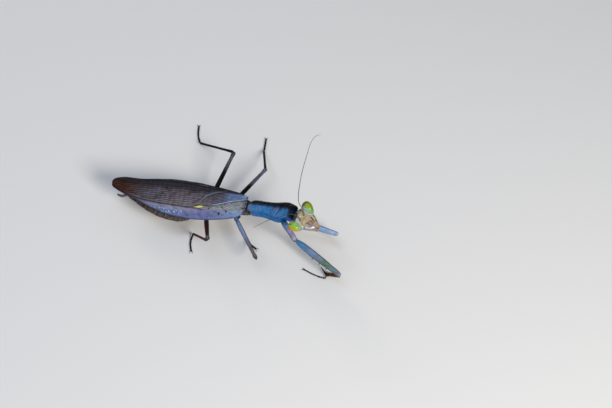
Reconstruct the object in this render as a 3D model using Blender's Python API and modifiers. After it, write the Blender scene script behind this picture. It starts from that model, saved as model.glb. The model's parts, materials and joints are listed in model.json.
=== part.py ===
"""Praying mantis at life size, standing on a level floor with its head raised and turned to its right.

Body axes, in millimetres: +X towards the head, +Y the mantis's left, +Z up, X = 0 where the forewings
are hinged, Z = 0 the floor.  BODY_TO_ROW carries these points to the part's own frame.
"""
import math

import bmesh
import bpy
import numpy as np
from mathutils import Matrix, Vector

# ---------------------------------------------------------------- driving sizes, millimetres
MM = 0.001
BODY_TO_ROW = Vector((5.2, -8.8, 0.0))       # puts the middle of the whole mantis over the origin
GAP = 0.3                                   # clear space left between neighbouring pieces

WING_TOP = 12.55                            # height of the folded forewings at their hinge
WING_LENGTH = 41.7
WING_FRONT = -0.7
WING_FALL = 1.63                            # how much lower the wing tips lie than the hinge
WING_THICK = 0.5
WING_LAYER = 0.72                           # step down from the left forewing to the right one under it
COSTAL_SLOPE = {1: 42.0, -1: 42.0}          # degrees the front margin folds down, left and right

PRO_BASE = Vector((0.0, 0.0, 11.55))        # rear end of the prothorax's axis
PRO_LENGTH = 18.98
PRO_RISE = 31.35                            # degrees above level
PRO_YAW = 22.82                             # degrees turned to the mantis's right

HEAD_CENTRE = Vector((16.58, -8.77, 22.41))
HEAD_DOWN = Vector((0.9161, -0.3043, -0.2612))     # from the crown towards the mouth
HEAD_FRONT = Vector((0.0302, -0.5970, 0.8017))     # out of the face
EYE_SIZE = Vector((1.40, 2.12, 1.55))       # half sizes across, along and through an eye
EYE_OFFSET = 3.42
EYE_EGG = 0.36                              # how much an eye narrows from crown to mouth

# Joints of the walking legs: hip, knee, ankle and the way the foot runs along the floor.
LEGS = {
    "mid_left": [(-4.9, 4.1, 6.3), (2.0, 18.2, 6.6), (-0.3, 29.3, 0.85), (-0.6, 34.9, 0.27)],
    "mid_right": [(-3.3, -2.45, 6.85), (5.3, -16.1, 8.3), (1.7, -5.8, 0.85), (4.3, -7.4, 0.27)],
    "hind_left": [(-12.25, 3.2, 5.7), (-8.4, 18.75, 11.0), (-20.5, 27.8, 0.85), (-22.3, 34.8, 0.27)],
    "hind_right": [(-12.25, -3.2, 5.7), (-9.25, -17.2, 14.55), (-15.2, -6.9, 0.85), (-14.5, -12.8, 0.27)],
}
LEG_COXA = {"mid": (-2.7, 1.0, 6.9), "hind": (-9.6, 1.15, 6.15)}
FEMUR_R = {"mid": 0.72, "hind": 0.74}
TIBIA_R = 0.42

# Joints of the raptorial legs: shoulder, trochanter, knee, wrist and foot tip.
ARMS = {
    "right": [(11.5, -7.75, 16.95), (15.4, -5.3, 5.9), (30.5, -15.5, 7.0), (26.6, -12.2, 0.95),
              (19.7, -11.4, 0.27)],
    "left": [(13.5, -2.75, 16.95), (10.0, 2.1, 6.2), (27.45, -0.58, 6.34), (23.5, 3.82, 0.95),
             (16.85, 5.28, 0.27)],
}
ARM_CLAW = {"right": (-2.0, 2.2, 0.35), "left": (-2.4, 0.9, 0.3)}     # wrist to claw tip
ARM_FOOT = {"right": (26.7, -13.3, 0.45), "left": (23.7, 4.9, 0.45)}

# Feelers: points from socket to tip.
FEELERS = {
    "left": [(17.2, -8.85, 24.3), (16.45, -7.95, 25.35), (15.1, -6.8, 26.3), (14.4, -4.1, 27.35),
             (14.25, -1.8, 28.35), (14.15, 0.75, 29.45), (14.25, 3.1, 30.45), (14.6, 7.15, 32.1),
             (15.1, 10.65, 33.7), (16.0, 12.35, 34.4), (17.3, 13.1, 34.55)],
    "right": [(16.5, -10.15, 23.25), (15.9, -10.3, 24.2), (14.55, -9.95, 24.55), (12.65, -9.5, 23.65),
              (10.0, -9.7, 21.35), (7.3, -9.65, 19.2), (5.15, -10.0, 17.05), (3.0, -10.35, 15.0)],
}

# ---------------------------------------------------------------- colours, one Principled each
COLOURS = {
    "shell": ((0.10, 0.20, 0.30), 0.35),
    "wing": ((0.09, 0.08, 0.08), 0.5),
    "eye": ((0.22, 0.33, 0.09), 0.15),
    "face": ((0.36, 0.31, 0.17), 0.45),
    "leg": ((0.16, 0.17, 0.22), 0.4),
    "belly": ((0.20, 0.13, 0.09), 0.5),
    "feeler": ((0.10, 0.06, 0.04), 0.5),
}


def start_clean():
    for old in list(bpy.data.objects):
        bpy.data.objects.remove(old)
    for name in ("praying_mantis", "cutters"):
        group = bpy.data.collections.new(name)
        bpy.context.scene.collection.children.link(group)
    return bpy.data.collections["praying_mantis"], bpy.data.collections["cutters"]


BODY, CUTTERS = start_clean()


def material(kind):
    known = bpy.data.materials.get(kind)
    if known:
        return known
    made = bpy.data.materials.new(kind)
    made.use_nodes = True
    shader = made.node_tree.nodes["Principled BSDF"]
    colour, rough = COLOURS[kind]
    shader.inputs["Base Color"].default_value = (*colour, 1.0)
    shader.inputs["Roughness"].default_value = rough
    made.diffuse_color = (*colour, 1.0)
    return made


def add_object(name, mesh, kind=None):
    """Link a mesh as a named solid, or as a cutter when it has no colour, with its faces outward."""
    work = bmesh.new()
    work.from_mesh(mesh)
    bmesh.ops.remove_doubles(work, verts=work.verts, dist=1e-7)
    bmesh.ops.recalc_face_normals(work, faces=work.faces)
    work.to_mesh(mesh)
    work.free()
    item = bpy.data.objects.new(name, mesh)
    if kind:
        BODY.objects.link(item)
        mesh.materials.clear()
        mesh.materials.append(material(kind))
    else:
        CUTTERS.objects.link(item)
        item.hide_render = True
        item.display_type = "WIRE"
    return item


def mesh_of(name, points, faces):
    mesh = bpy.data.meshes.new(name)
    mesh.from_pydata([tuple((Vector(p) + BODY_TO_ROW) * MM) for p in points], [], faces)
    return mesh


def loft(name, rings, kind):
    """Skin a row of unlike rings that share a point count, with a flat lid at each end."""
    count = len(rings[0])
    points = [p for ring in rings for p in ring]
    faces = []
    for r in range(len(rings) - 1):
        for i in range(count):
            j = (i + 1) % count
            faces.append((r * count + i, r * count + j, (r + 1) * count + j, (r + 1) * count + i))
    faces.append(tuple(range(count))[::-1])
    faces.append(tuple(range((len(rings) - 1) * count, len(rings) * count)))
    return add_object(name, mesh_of(name, points, faces), kind)


def tube(name, path, radii, kind, resolution=2):
    """A limb: a straight-run curve with a round bevel that thickens and thins along it, ends filled.

    What would reach below the floor is pressed flat on it, which gives a foot its small flats.
    """
    curve = bpy.data.curves.new(name + "_axis", "CURVE")
    curve.dimensions = "3D"
    curve.bevel_depth = MM
    curve.bevel_resolution = resolution
    curve.use_fill_caps = True
    spline = curve.splines.new("POLY")
    spline.points.add(len(path) - 1)
    for point, place, radius in zip(spline.points, path, radii):
        point.co = (*((Vector(place) + BODY_TO_ROW) * MM), 1.0)
        point.radius = radius
    holder = bpy.data.objects.new(name + "_axis", curve)
    CUTTERS.objects.link(holder)
    bpy.context.view_layer.update()
    graph = bpy.context.evaluated_depsgraph_get()
    mesh = bpy.data.meshes.new_from_object(holder.evaluated_get(graph))
    mesh.name = name
    for vertex in mesh.vertices:
        vertex.co.z = max(vertex.co.z, 0.0)
    bpy.data.objects.remove(holder)
    bpy.data.curves.remove(curve)
    return add_object(name, mesh, kind)


def boolean(item, other, operation):
    cut = item.modifiers.new(other.name, "BOOLEAN")
    cut.operation = operation
    cut.solver = "EXACT"
    cut.object = other
    return item


def along(points, spans, start=0.0, end=0.0):
    """Points at the given shares of a polyline's length, once its two ends are drawn in."""
    pts = [Vector(p) for p in points]
    steps = [(b - a).length for a, b in zip(pts, pts[1:])]
    total = sum(steps)
    out = []
    for share in spans:
        want = start + share * (total - start - end)
        for a, b, step in zip(pts, pts[1:], steps):
            if want <= step or b is pts[-1]:
                out.append(a + (b - a) * (want / step))
                break
            want -= step
    return out


def table(rows, at):
    """Value at a station, read off rows of (station, value, ...) in rising order."""
    rows = np.array(sorted(rows))
    return [float(np.interp(at, rows[:, 0], rows[:, k])) for k in range(1, rows.shape[1])]


def superring(centre, across, upward, half, top, bottom, count=16, power=2.0, lean=0.0, turn=0.0):
    """A rounded ring: half as wide as it reaches each side, lean narrows its underside."""
    ring = []
    for i in range(count):
        t = 2 * math.pi * (i + turn) / count
        c, s = math.cos(t), math.sin(t)
        x = math.copysign(abs(c) ** (2 / power), c) * half * (1 + lean * min(s, 0.0))
        z = math.copysign(abs(s) ** (2 / power), s) * (top if s > 0 else bottom)
        ring.append(Vector(centre) + Vector(across) * x + Vector(upward) * z)
    return ring


X, Y, Z = Vector((1, 0, 0)), Vector((0, 1, 0)), Vector((0, 0, 1))

# ---------------------------------------------------------------- prothorax
rise, yaw = math.radians(PRO_RISE), math.radians(PRO_YAW)
PRO_AXIS = Vector((math.cos(rise) * math.cos(yaw), -math.cos(rise) * math.sin(yaw), math.sin(rise)))
PRO_LEFT = Z.cross(PRO_AXIS).normalized()
PRO_UP = PRO_AXIS.cross(PRO_LEFT)


def pro(s, l, u):
    return PRO_BASE + PRO_AXIS * s + PRO_LEFT * l + PRO_UP * u


# station, half width, arch height, height of the side margin
PRONOTUM = [
    (0.30, 1.55, 0.65, 0.00), (0.75, 2.10, 0.90, -0.05), (2.2, 2.35, 1.00, -0.10),
    (4.5, 2.25, 1.00, -0.10), (7.5, 2.25, 1.00, -0.10), (10.0, 2.65, 1.10, -0.15),
    (11.6, 3.10, 1.25, -0.20), (12.6, 3.30, 1.20, -0.25), (13.2, 3.32, 1.12, -0.25),
    (13.9, 3.25, 1.25, -0.25), (15.6, 2.75, 1.15, -0.20), (17.4, 2.20, 0.92, -0.15),
    (18.3, 1.50, 0.64, -0.10),
]
TOP_SHARES = [1.0, 0.9, 0.68, 0.4, 0.12, 0.0, -0.12, -0.4, -0.68, -0.9, -1.0]


def pronotum():
    rings = []
    for s, half, arch, margin in PRONOTUM:
        keel = 0.16 if s < 12.0 else 0.08
        ring = []
        for share in TOP_SHARES:
            lift = arch * (1 - abs(share) ** 2.2) + (keel if share == 0.0 else 0.0)
            ring.append(pro(s, share * half, margin + lift))
        for share in (-0.93, -0.5, 0.0, 0.5, 0.93):
            ring.append(pro(s, share * half, margin - 0.50 + 0.12 * abs(share)))
        rings.append(ring)
    loft("pronotum", rings, "shell")


PROSTERNUM = [  # station, half width, half depth, height of the middle
    (0.45, 1.70, 1.05, -2.15), (1.4, 1.90, 1.20, -2.25), (4.0, 1.90, 1.20, -2.25),
    (6.5, 2.05, 1.30, -2.30), (9.0, 2.40, 1.45, -2.45), (11.0, 2.70, 1.55, -2.55),
    (12.0, 2.60, 1.50, -2.55), (12.9, 1.75, 1.25, -2.35), (15.6, 1.40, 1.15, -2.20),
    (16.7, 1.20, 1.05, -2.15), (17.6, 0.95, 0.80, -2.15),
]


def prosternum():
    rings = [superring(pro(s, 0, u), PRO_LEFT, PRO_UP, half, deep, deep, 14, 2.4)
             for s, half, deep, u in PROSTERNUM]
    loft("prosternum", rings, "shell")


# ---------------------------------------------------------------- thorax and abdomen
THORAX = [  # x, half width, underside, top, how far the section leans forward per mm downward
    (0.72, 2.1, 8.2, 10.5, 0.58), (0.0, 2.65, 8.05, 10.85, 0.5), (-2.2, 3.1, 8.0, 11.0, 0.25),
    (-5.5, 3.3, 7.8, 10.85, 0.0), (-8.6, 3.3, 7.4, 10.65, 0.0), (-11.0, 3.2, 7.25, 10.3, 0.0),
    (-12.3, 2.9, 7.2, 9.55, 0.0), (-13.7, 2.2, 7.5, 9.2, 0.0),
]


def thorax():
    rings = []
    for x, half, low, high, lean in THORAX:
        middle = 0.4 * low + 0.6 * high
        rings.append(superring((x, 0, middle), Y, Z - X * lean, half, high - middle, middle - low,
                               16, 2.5, 0.4))
    loft("thorax", rings, "belly")


ABDOMEN = [  # x, half width, sideways shift, height of the side edge, rise above it, depth below it
    (-38.9, 0.75, -0.75, 7.9, 0.45, 0.55), (-37.6, 1.35, -0.75, 7.75, 0.7, 0.85),
    (-34.6, 2.85, -0.85, 7.4, 1.2, 1.5), (-31.2, 4.6, -0.95, 7.3, 1.6, 2.0),
    (-27.6, 6.1, -0.95, 7.25, 1.8, 2.3), (-24.0, 7.05, -0.80, 7.2, 1.88, 2.40),
    (-20.6, 7.30, -0.65, 7.1, 1.80, 2.3), (-17.6, 6.6, -0.40, 7.15, 1.75, 2.0),
    (-15.6, 5.0, -0.10, 7.6, 1.7, 1.6), (-14.8, 3.5, 0.0, 7.8, 1.45, 1.2),
]
SEGMENT_ENDS = [-14.5, -17.8, -21.0, -24.2, -27.5, -30.7, -33.6, -36.2, -38.9]


def abdomen():
    """Eight ring segments; each flares a little to its rear edge, which stands over the next one."""
    for k, (front, rear) in enumerate(zip(SEGMENT_ENDS, SEGMENT_ENDS[1:]), start=1):
        front -= GAP / 2 if k > 1 else 0.0
        rear += GAP / 2 if k < 8 else 0.0
        rings = []
        for share, flare in ((0.0, -0.16), (0.5, 0.02), (0.88, 0.13), (1.0, 0.05)):
            x = front + (rear - front) * share
            half, shift, edge, up, down = table(ABDOMEN, x)
            rings.append(superring((x, shift, edge), Y, Z, half + flare, up + flare * 0.5,
                                   down + flare * 0.6, 16, 1.85))
        loft(f"abdomen_{k}", rings, "belly")


def cerci():
    for side, sign in (("left", 1), ("right", -1)):
        path = [(-37.4, -0.75 + sign * 2.2, 7.75), (-38.1, -0.75 + sign * 2.35, 7.7),
                (-38.9, -0.8 + sign * 2.2, 7.65), (-39.7, -0.85 + sign * 1.85, 7.7)]
        tube(f"cercus_{side}", path, [0.36, 0.42, 0.36, 0.25], "belly", 1)


# ---------------------------------------------------------------- wings
FOLDS = [  # x, right fold line, left fold line, width of the folded-down margin, hind edge of the left wing
    (-41.85, -0.75, -0.40, 0.10, -0.92), (-41.35, -1.35, 0.50, 0.15, -1.50), (-40.1, -2.10, 1.20, 0.20, -2.40),
    (-38.0, -3.05, 1.75, 0.28, -3.45), (-34.5, -4.15, 1.97, 0.40, -4.55), (-31.0, -4.70, 2.37, 1.05, -5.10),
    (-28.0, -4.90, 2.87, 1.85, -5.30), (-24.5, -4.90, 3.27, 2.65, -5.30), (-21.0, -4.80, 3.47, 3.15, -5.20),
    (-18.5, -4.75, 3.46, 3.22, -5.10), (-16.5, -4.70, 3.44, 3.25, -4.82), (-14.5, -4.58, 3.38, 3.20, -3.80),
    (-12.0, -4.38, 3.25, 3.05, -3.66), (-8.0, -3.88, 3.02, 2.65, -2.15), (-5.0, -3.42, 2.78, 2.25, -0.72),
    (-2.8, -3.10, 2.58, 1.75, 0.10), (-0.7, -2.60, 2.25, 0.80, 0.80),
]
WING_STATIONS = [-0.7, -2.2, -4.5, -8.0, -12.0, -16.0, -20.0, -24.0, -28.0, -31.5, -34.5, -37.5, -39.6,
                 -40.9, -41.6]


def wing_height(x):
    return WING_TOP + x * WING_FALL / WING_LENGTH


def wing(side, sign):
    """One sheet, flat over the back and folded down along its front margin, given its thickness."""
    slope = math.radians(COSTAL_SLOPE[sign])
    points, faces = [], []
    columns = 9
    for x in WING_STATIONS:
        right, left, margin, hind = table(FOLDS, x)
        middle, half = (right + left) / 2, (left - right) / 2
        fold, inner = (left, hind) if sign > 0 else (right, left - 0.35 * half)
        level = 0.0 if sign > 0 else WING_LAYER + 0.06 * max(0.0, -38.5 - x)
        top = wing_height(x) - level
        for share in (0.0, 0.25, 0.5, 0.75, 0.93):
            y = inner + (fold - inner) * share
            crown = 0.22 * min(1.2, abs(y - middle) / half) ** 2
            points.append((x, y, top - crown))
        start = Vector((x, fold, top - 0.22))
        outward = Vector((0, sign * math.cos(slope), -math.sin(slope)))
        points.append(start + Vector((0, sign * 0.12, -0.05)))
        for share in (0.33, 0.67, 1.0):
            points.append(start + outward * (margin * share + 0.2))
    rows = len(WING_STATIONS)
    for r in range(rows - 1):
        for c in range(columns - 1):
            k = r * columns + c
            faces.append((k, k + 1, k + columns + 1, k + columns))
    item = add_object(f"forewing_{side}", mesh_of(f"forewing_{side}", points, faces), "wing")
    if item.data.polygons[0].normal.z < 0:
        item.data.flip_normals()
    thick = item.modifiers.new("thickness", "SOLIDIFY")
    thick.thickness = WING_THICK * MM
    thick.offset = -1.0
    thick.use_even_offset = True
    thick.use_quality_normals = True


HINDWING = [  # x, width of one folded pad
    (-38.6, 0.5), (-37.0, 1.3), (-33.0, 1.95), (-26.0, 2.6), (-18.0, 2.9), (-13.6, 2.5), (-12.7, 1.9),
]


def hindwings():
    """The hind wings as folded pads, side by side between the forewings and the abdomen."""
    for side, sign in (("left", 1), ("right", -1)):
        rings = []
        for x, width in HINDWING:
            right, left = table(FOLDS, x)[:2]
            middle = (right + left) / 2
            top = wing_height(x) - WING_LAYER - WING_THICK - 0.44
            near, far = middle + sign * GAP / 2, middle + sign * (GAP / 2 + width)
            rings.append([(x, near, top), (x, (near + far) / 2, top), (x, far, top - 0.12),
                          (x, far, top - 0.60), (x, (near + far) / 2, top - 0.52), (x, near, top - 0.52)])
        loft(f"hindwing_{side}", rings, "wing")


# ---------------------------------------------------------------- head
HEAD_LEFT = HEAD_FRONT.cross(-HEAD_DOWN).normalized()
if HEAD_LEFT.y < 0:
    HEAD_LEFT = -HEAD_LEFT


def face(l, m, n):
    return HEAD_CENTRE + HEAD_LEFT * l + HEAD_DOWN * m + HEAD_FRONT * n


HEAD = [  # down the face, half width, out to the face, back to the nape
    (-2.05, 1.15, 0.15, 0.75), (-1.75, 1.95, 0.55, 1.15), (-1.1, 2.55, 0.95, 1.5),
    (0.0, 2.75, 1.15, 1.65), (1.2, 2.85, 1.22, 1.6), (2.3, 2.72, 1.2, 1.4), (3.3, 2.32, 1.12, 1.2),
    (4.1, 1.88, 1.0, 1.05), (4.55, 1.60, 0.85, 0.9),
]
MOUTH = [(4.85, 1.40, 0.85, 0.8), (5.3, 1.12, 0.72, 0.7), (5.75, 0.74, 0.5, 0.5), (5.95, 0.42, 0.3, 0.3)]


def eye_mesh(name, sign, grow, kind):
    """An egg-shaped ball, broad above and narrow below, its lower end drawn in towards the mouth."""
    mesh = bpy.data.meshes.new(name)
    work = bmesh.new()
    bmesh.ops.create_uvsphere(work, u_segments=14, v_segments=9, radius=1.0)
    for v in work.verts:
        x, n, m = v.co.x, v.co.y, -v.co.z
        l = sign * (EYE_OFFSET - 0.30 * m - 0.25 * m * m) + x * (EYE_SIZE.x * (1 - EYE_EGG * m) + grow)
        n *= EYE_SIZE.z * (1 - 0.10 * m) + grow
        v.co = (face(l, 0.10 + m * (EYE_SIZE.y + grow), -0.1 + n) + BODY_TO_ROW) * MM
    work.to_mesh(mesh)
    work.free()
    return add_object(name, mesh, kind)


def head():
    rings = [superring(face(0, m, 0), HEAD_LEFT, HEAD_FRONT, half, out, back, 16, 2.3)
             for m, half, out, back in HEAD]
    skull = loft("head", rings, "face")
    for side, sign in (("left", 1), ("right", -1)):
        eye_mesh(f"eye_{side}", sign, 0.0, "eye")
        boolean(skull, eye_mesh(f"socket_{side}", sign, 0.22, None), "DIFFERENCE")
    rings = [superring(face(0, m, 0), HEAD_LEFT, HEAD_FRONT, half, out, back, 10, 2.3)
             for m, half, out, back in MOUTH]
    loft("mouthparts", rings, "face")
    for side, sign in (("left", 1), ("right", -1)):
        path = [face(sign * 0.95, 4.75, -1.45), face(sign * 0.95, 5.3, -1.4), face(sign * 0.75, 5.85, -1.1),
                face(sign * 0.5, 6.25, -0.62)]
        tube(f"palp_{side}", path, [0.26, 0.27, 0.26, 0.25], "face", 1)


def neck():
    """A short bent collar from the front of the prothorax to the back of the head."""
    start, end = pro(18.0, 0.0, -2.1), face(0, 0.35, -2.3)
    tube("neck", [start, (start + end) / 2 + PRO_AXIS * 0.05, end], [0.9, 0.92, 0.75], "shell")


def feelers():
    for side, path in FEELERS.items():
        last = len(path) - 1
        radii = [0.36, 0.30] + [0.27] * (last - 1)
        tube(f"antenna_{side}", path, radii, "feeler", 1)


# ---------------------------------------------------------------- legs
def spines(name, rows):
    """Many cones as one mesh; each row entry is root, direction, length and root radius."""
    mesh = bpy.data.meshes.new(name)
    work = bmesh.new()
    for root, direction, length, radius in rows:
        turn = direction.normalized().to_track_quat("Z", "Y").to_matrix().to_4x4()
        centre = (Vector(root) + direction.normalized() * length / 2 + BODY_TO_ROW) * MM
        bmesh.ops.create_cone(work, cap_ends=True, segments=5, radius1=radius * MM, radius2=0.07 * MM,
                              depth=length * MM, matrix=Matrix.Translation(centre) @ turn)
    work.to_mesh(mesh)
    work.free()
    return add_object(name, mesh, None)


def tarsus(name, ankle, tip, under, bend=(0, 0, 0)):
    """Five joints and two claws, the first sloping down from the ankle, the rest flat on the floor."""
    ankle, tip, bend = Vector(ankle), Vector(tip), Vector(bend)
    run = tip - ankle
    flat = Vector((run.x, run.y, 0)).normalized()
    start = ankle + run.normalized() * under
    path, radii = [], []
    joints = [0.0, 0.38, 0.56, 0.71, 0.83, 1.0]
    for a, b in zip(joints, joints[1:]):
        for share, radius in ((0.06, 0.27), (0.80, 0.33)):
            k = a + (b - a) * share
            place = start + (tip - start) * k + bend * math.sin(math.pi * k)
            sink = min(1.0, k / 0.34)
            place.z = start.z * (1 - sink) + tip.z * sink
            path.append(place)
            radii.append(radius)
    tube(name, path, radii, "leg", 1)
    foot = bpy.data.objects[name]
    side = Z.cross(flat)
    end = path[-1]
    claws = spines(name + "_claws", [(end - flat * 0.22 + side * s * 0.19 + Z * 0.03, flat + side * s * 0.4,
                                      1.1, 0.16) for s in (1, -1)])
    boolean(foot, claws, "UNION")


def limb_frame(start, knee, far):
    """Unit vectors along a segment, towards the side the next one folds to, and across."""
    a = (Vector(knee) - Vector(start)).normalized()
    b = (Vector(far) - Vector(knee)).normalized()
    v = (b - a * b.dot(a)).normalized()
    return a, v, a.cross(v), b


def walking_leg(name, joints):
    kind = name.split("_")[0]
    hip, knee, ankle, tip = (Vector(p) for p in joints)
    coxa = Vector(LEG_COXA[kind])
    coxa.y *= 1 if hip.y > 0 else -1
    a, v, w, b = limb_frame(hip, knee, ankle)
    path = along([coxa, hip], [0, 0.12, 0.35, 0.75, 1.0], 0.0, 0.62)
    tube(f"coxa_{name}", path, [0.5, 0.82, 0.94, 0.80, 0.55], "leg")

    r = FEMUR_R[kind]
    path = along([hip, knee], [0, 0.05, 0.10, 0.3, 0.6, 0.9, 0.97, 1.0], 0.15, -0.25)
    radii = [0.5, 0.62, 0.76 * r, r, 0.86 * r, 0.72 * r, 0.85 * r, 0.6 * r]
    femur = tube(f"femur_{name}", path, radii, "leg")
    hinge = knee + a * 0.25 + v * 0.55
    path = [hinge] + along([hinge, ankle], [0.06, 0.3, 0.9, 1.0], 0.0, 0.25)
    radii = [0.34, TIBIA_R * 1.05, TIBIA_R * 0.86, TIBIA_R * 0.82, TIBIA_R * 0.95]
    tube(f"tibia_{name}", path, radii, "leg")
    groove = tube(f"groove_{name}", [hinge - b * 0.6] + path[1:3], [radii[1] + 0.22] * 3, None, 1)
    boolean(femur, groove, "DIFFERENCE")
    bend = {"hind_right": (-0.9, 0.3, 0), "hind_left": (-0.4, -0.1, 0)}.get(name, (0, 0, 0))
    tarsus(f"tarsus_{name}", ankle, tip, 0.62, bend)


FEMUR_SHAPE = [  # share of length, half height, half width
    (0.0, 0.55, 0.50), (0.05, 0.85, 0.72), (0.18, 1.16, 0.92), (0.38, 1.27, 1.00), (0.58, 1.18, 0.94),
    (0.78, 0.98, 0.82), (0.92, 0.82, 0.74), (0.98, 0.70, 0.66), (1.0, 0.45, 0.45),
]


def raptorial_leg(side, joints):
    shoulder, trochanter, knee, wrist, tip = (Vector(p) for p in joints)
    sign = 1 if side == "left" else -1
    reach = (trochanter - shoulder).normalized()
    a, v, w, b = limb_frame(trochanter, knee, wrist)
    path = along([shoulder, trochanter], [0, 0.08, 0.3, 0.6, 0.82, 0.92, 1.0], 0.0, 0.95)
    tube(f"coxa_fore_{side}", path, [0.55, 0.85, 0.92, 0.80, 0.80, 0.84, 0.62], "shell", 3)
    path = [trochanter - reach * 0.55, trochanter - reach * 0.05 + a * 0.05, trochanter + a * 0.45]
    tube(f"trochanter_fore_{side}", path, [0.55, 0.66, 0.55], "shell")

    start, end = trochanter + a * 0.88, knee + a * 0.55
    rings = []
    for share, high, wide in FEMUR_SHAPE:
        centre = start + (end - start) * share
        rings.append(superring(centre, w, -v, wide, high, high * 0.96, 14, 2.1))
    femur = loft(f"femur_fore_{side}", rings, "shell")

    length = (end - start).length
    rows = []
    for lane in (1, -1):
        for share in np.linspace(0.34, 0.86, 6):
            deep, wide = table([(s, h, x) for s, h, x in FEMUR_SHAPE], float(share))
            root = start + a * (share * length) + v * deep * 0.62 + w * lane * wide * 0.52
            long = (1.25 if lane == 1 else 1.0) + 0.2 * math.cos(share * 40)
            rows.append((root, v * 0.95 + w * lane * 0.32 - a * 0.12, long, 0.2))
    boolean(femur, spines(f"femur_spines_{side}", rows), "UNION")

    hinge = knee + a * 0.10 + v * 0.75
    claw = wrist + Vector(ARM_CLAW[side])
    stop = wrist + (hinge - wrist).normalized() * 0.2
    path = [hinge] + along([hinge, stop], [0.07, 0.4, 0.8, 1.0]) + [stop + (claw - stop) * 0.5, claw]
    tibia = tube(f"tibia_fore_{side}", path, [0.38, 0.5, 0.52, 0.48, 0.42, 0.29, 0.1], "leg")
    across, inward = w, (-a + b * b.dot(a)).normalized()
    rows = []
    for lane in (1, -1):
        for share in np.linspace(0.32, 0.92, 5):
            root = hinge + (stop - hinge) * share + inward * 0.25 + across * lane * 0.22
            rows.append((root, inward + across * lane * 0.35 + b * 0.55, 0.85 + 0.4 * share, 0.16))
    boolean(tibia, spines(f"tibia_spines_{side}", rows), "UNION")
    path = [hinge - b * 0.7] + along([hinge, stop], [0.1, 0.55])
    groove = tube(f"groove_fore_{side}", path, [0.74, 0.74, 0.74], None, 1)
    boolean(femur, groove, "DIFFERENCE")

    bend = (0, -0.3, 0) if sign < 0 else (0, 0.2, 0)
    tarsus(f"tarsus_fore_{side}", ARM_FOOT[side], tip, 0.05, bend)


def build():
    pronotum()
    prosternum()
    thorax()
    abdomen()
    cerci()
    wing("right", -1)
    wing("left", 1)
    hindwings()
    head()
    neck()
    feelers()
    for name, joints in LEGS.items():
        walking_leg(name, joints)
    for side, joints in ARMS.items():
        raptorial_leg(side, joints)


build()
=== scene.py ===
import json
import math

import bpy
import numpy as np
from mathutils import Matrix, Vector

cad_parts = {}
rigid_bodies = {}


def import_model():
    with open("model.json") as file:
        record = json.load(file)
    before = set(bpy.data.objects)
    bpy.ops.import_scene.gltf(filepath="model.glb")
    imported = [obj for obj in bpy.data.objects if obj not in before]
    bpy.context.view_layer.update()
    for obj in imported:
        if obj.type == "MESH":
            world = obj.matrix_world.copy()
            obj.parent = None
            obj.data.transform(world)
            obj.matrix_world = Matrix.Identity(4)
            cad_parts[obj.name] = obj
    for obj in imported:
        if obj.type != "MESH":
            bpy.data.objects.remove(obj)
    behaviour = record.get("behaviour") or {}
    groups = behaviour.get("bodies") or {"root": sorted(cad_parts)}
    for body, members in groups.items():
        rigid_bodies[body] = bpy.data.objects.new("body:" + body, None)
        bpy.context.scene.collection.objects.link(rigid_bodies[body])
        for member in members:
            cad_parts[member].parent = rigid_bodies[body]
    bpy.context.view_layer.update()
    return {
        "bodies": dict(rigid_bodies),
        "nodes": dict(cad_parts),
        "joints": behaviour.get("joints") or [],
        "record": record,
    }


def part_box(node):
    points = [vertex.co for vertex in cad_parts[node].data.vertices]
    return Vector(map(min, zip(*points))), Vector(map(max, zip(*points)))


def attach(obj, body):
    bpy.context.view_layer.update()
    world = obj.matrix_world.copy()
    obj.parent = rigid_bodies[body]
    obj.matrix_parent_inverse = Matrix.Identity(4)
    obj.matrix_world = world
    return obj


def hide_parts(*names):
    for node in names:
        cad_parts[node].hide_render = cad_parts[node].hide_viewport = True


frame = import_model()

# Shapes are worked out in millimetres in the mantis's own axes: x towards the head, y to its left,
# z up, x = 0 at the wing hinge. bodyShift and metresPerMm carry them to the frame of the solids.
wingLow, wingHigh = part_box("forewing_left")
thoraxLow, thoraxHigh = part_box("thorax")
metresPerMm = 0.001
bodyShift = np.array([wingHigh.x * 1000 + 0.7, (thoraxLow.y + thoraxHigh.y) * 500, 0.0])
print("frame loaded, shift", [round(float(v), 3) for v in bodyShift])


# Helpers.

# Millimetres in the mantis's own axes turned into metres in the frame: (point + shift) / 1000.
def toRow(points):
    return (np.asarray(points, float) + bodyShift) * metresPerMm


# Screen red, green, blue from 0 to 255 turned into light: ((c + 0.055) / 1.055) to the power 2.4.
def linear(colour):
    c = np.asarray(colour, float) / 255
    return np.where(c <= 0.04045, c / 12.92, ((c + 0.055) / 1.055) ** 2.4)


# Each vector divided by its length.
def unit(vectors):
    vectors = np.asarray(vectors, float)
    return vectors / np.linalg.norm(vectors, axis=-1, keepdims=True)


# A soft step: 0 below low, 1 above high, 3t^2 - 2t^3 between.
def rise(low, high, x):
    t = np.clip((x - low) / (high - low), 0, 1)
    return t * t * (3 - 2 * t)


# A round bump: e to the minus ((x - middle) / width) squared.
def bell(x, middle, width):
    return np.exp(-((x - middle) / width) ** 2)


# Uneven waves from -1 to 1: seven sines along seeded directions, about size millimetres long.
def ripple(points, size, seed):
    dice = np.random.default_rng(seed)
    total = np.zeros(points.shape[:-1])
    for _ in range(7):
        way = unit(dice.normal(size=3))
        total += np.sin(points @ way * (2 * np.pi / size * dice.uniform(0.6, 1.5)) + dice.uniform(0, 6.28))
    return np.clip(total / 3.2, -1, 1)


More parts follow.
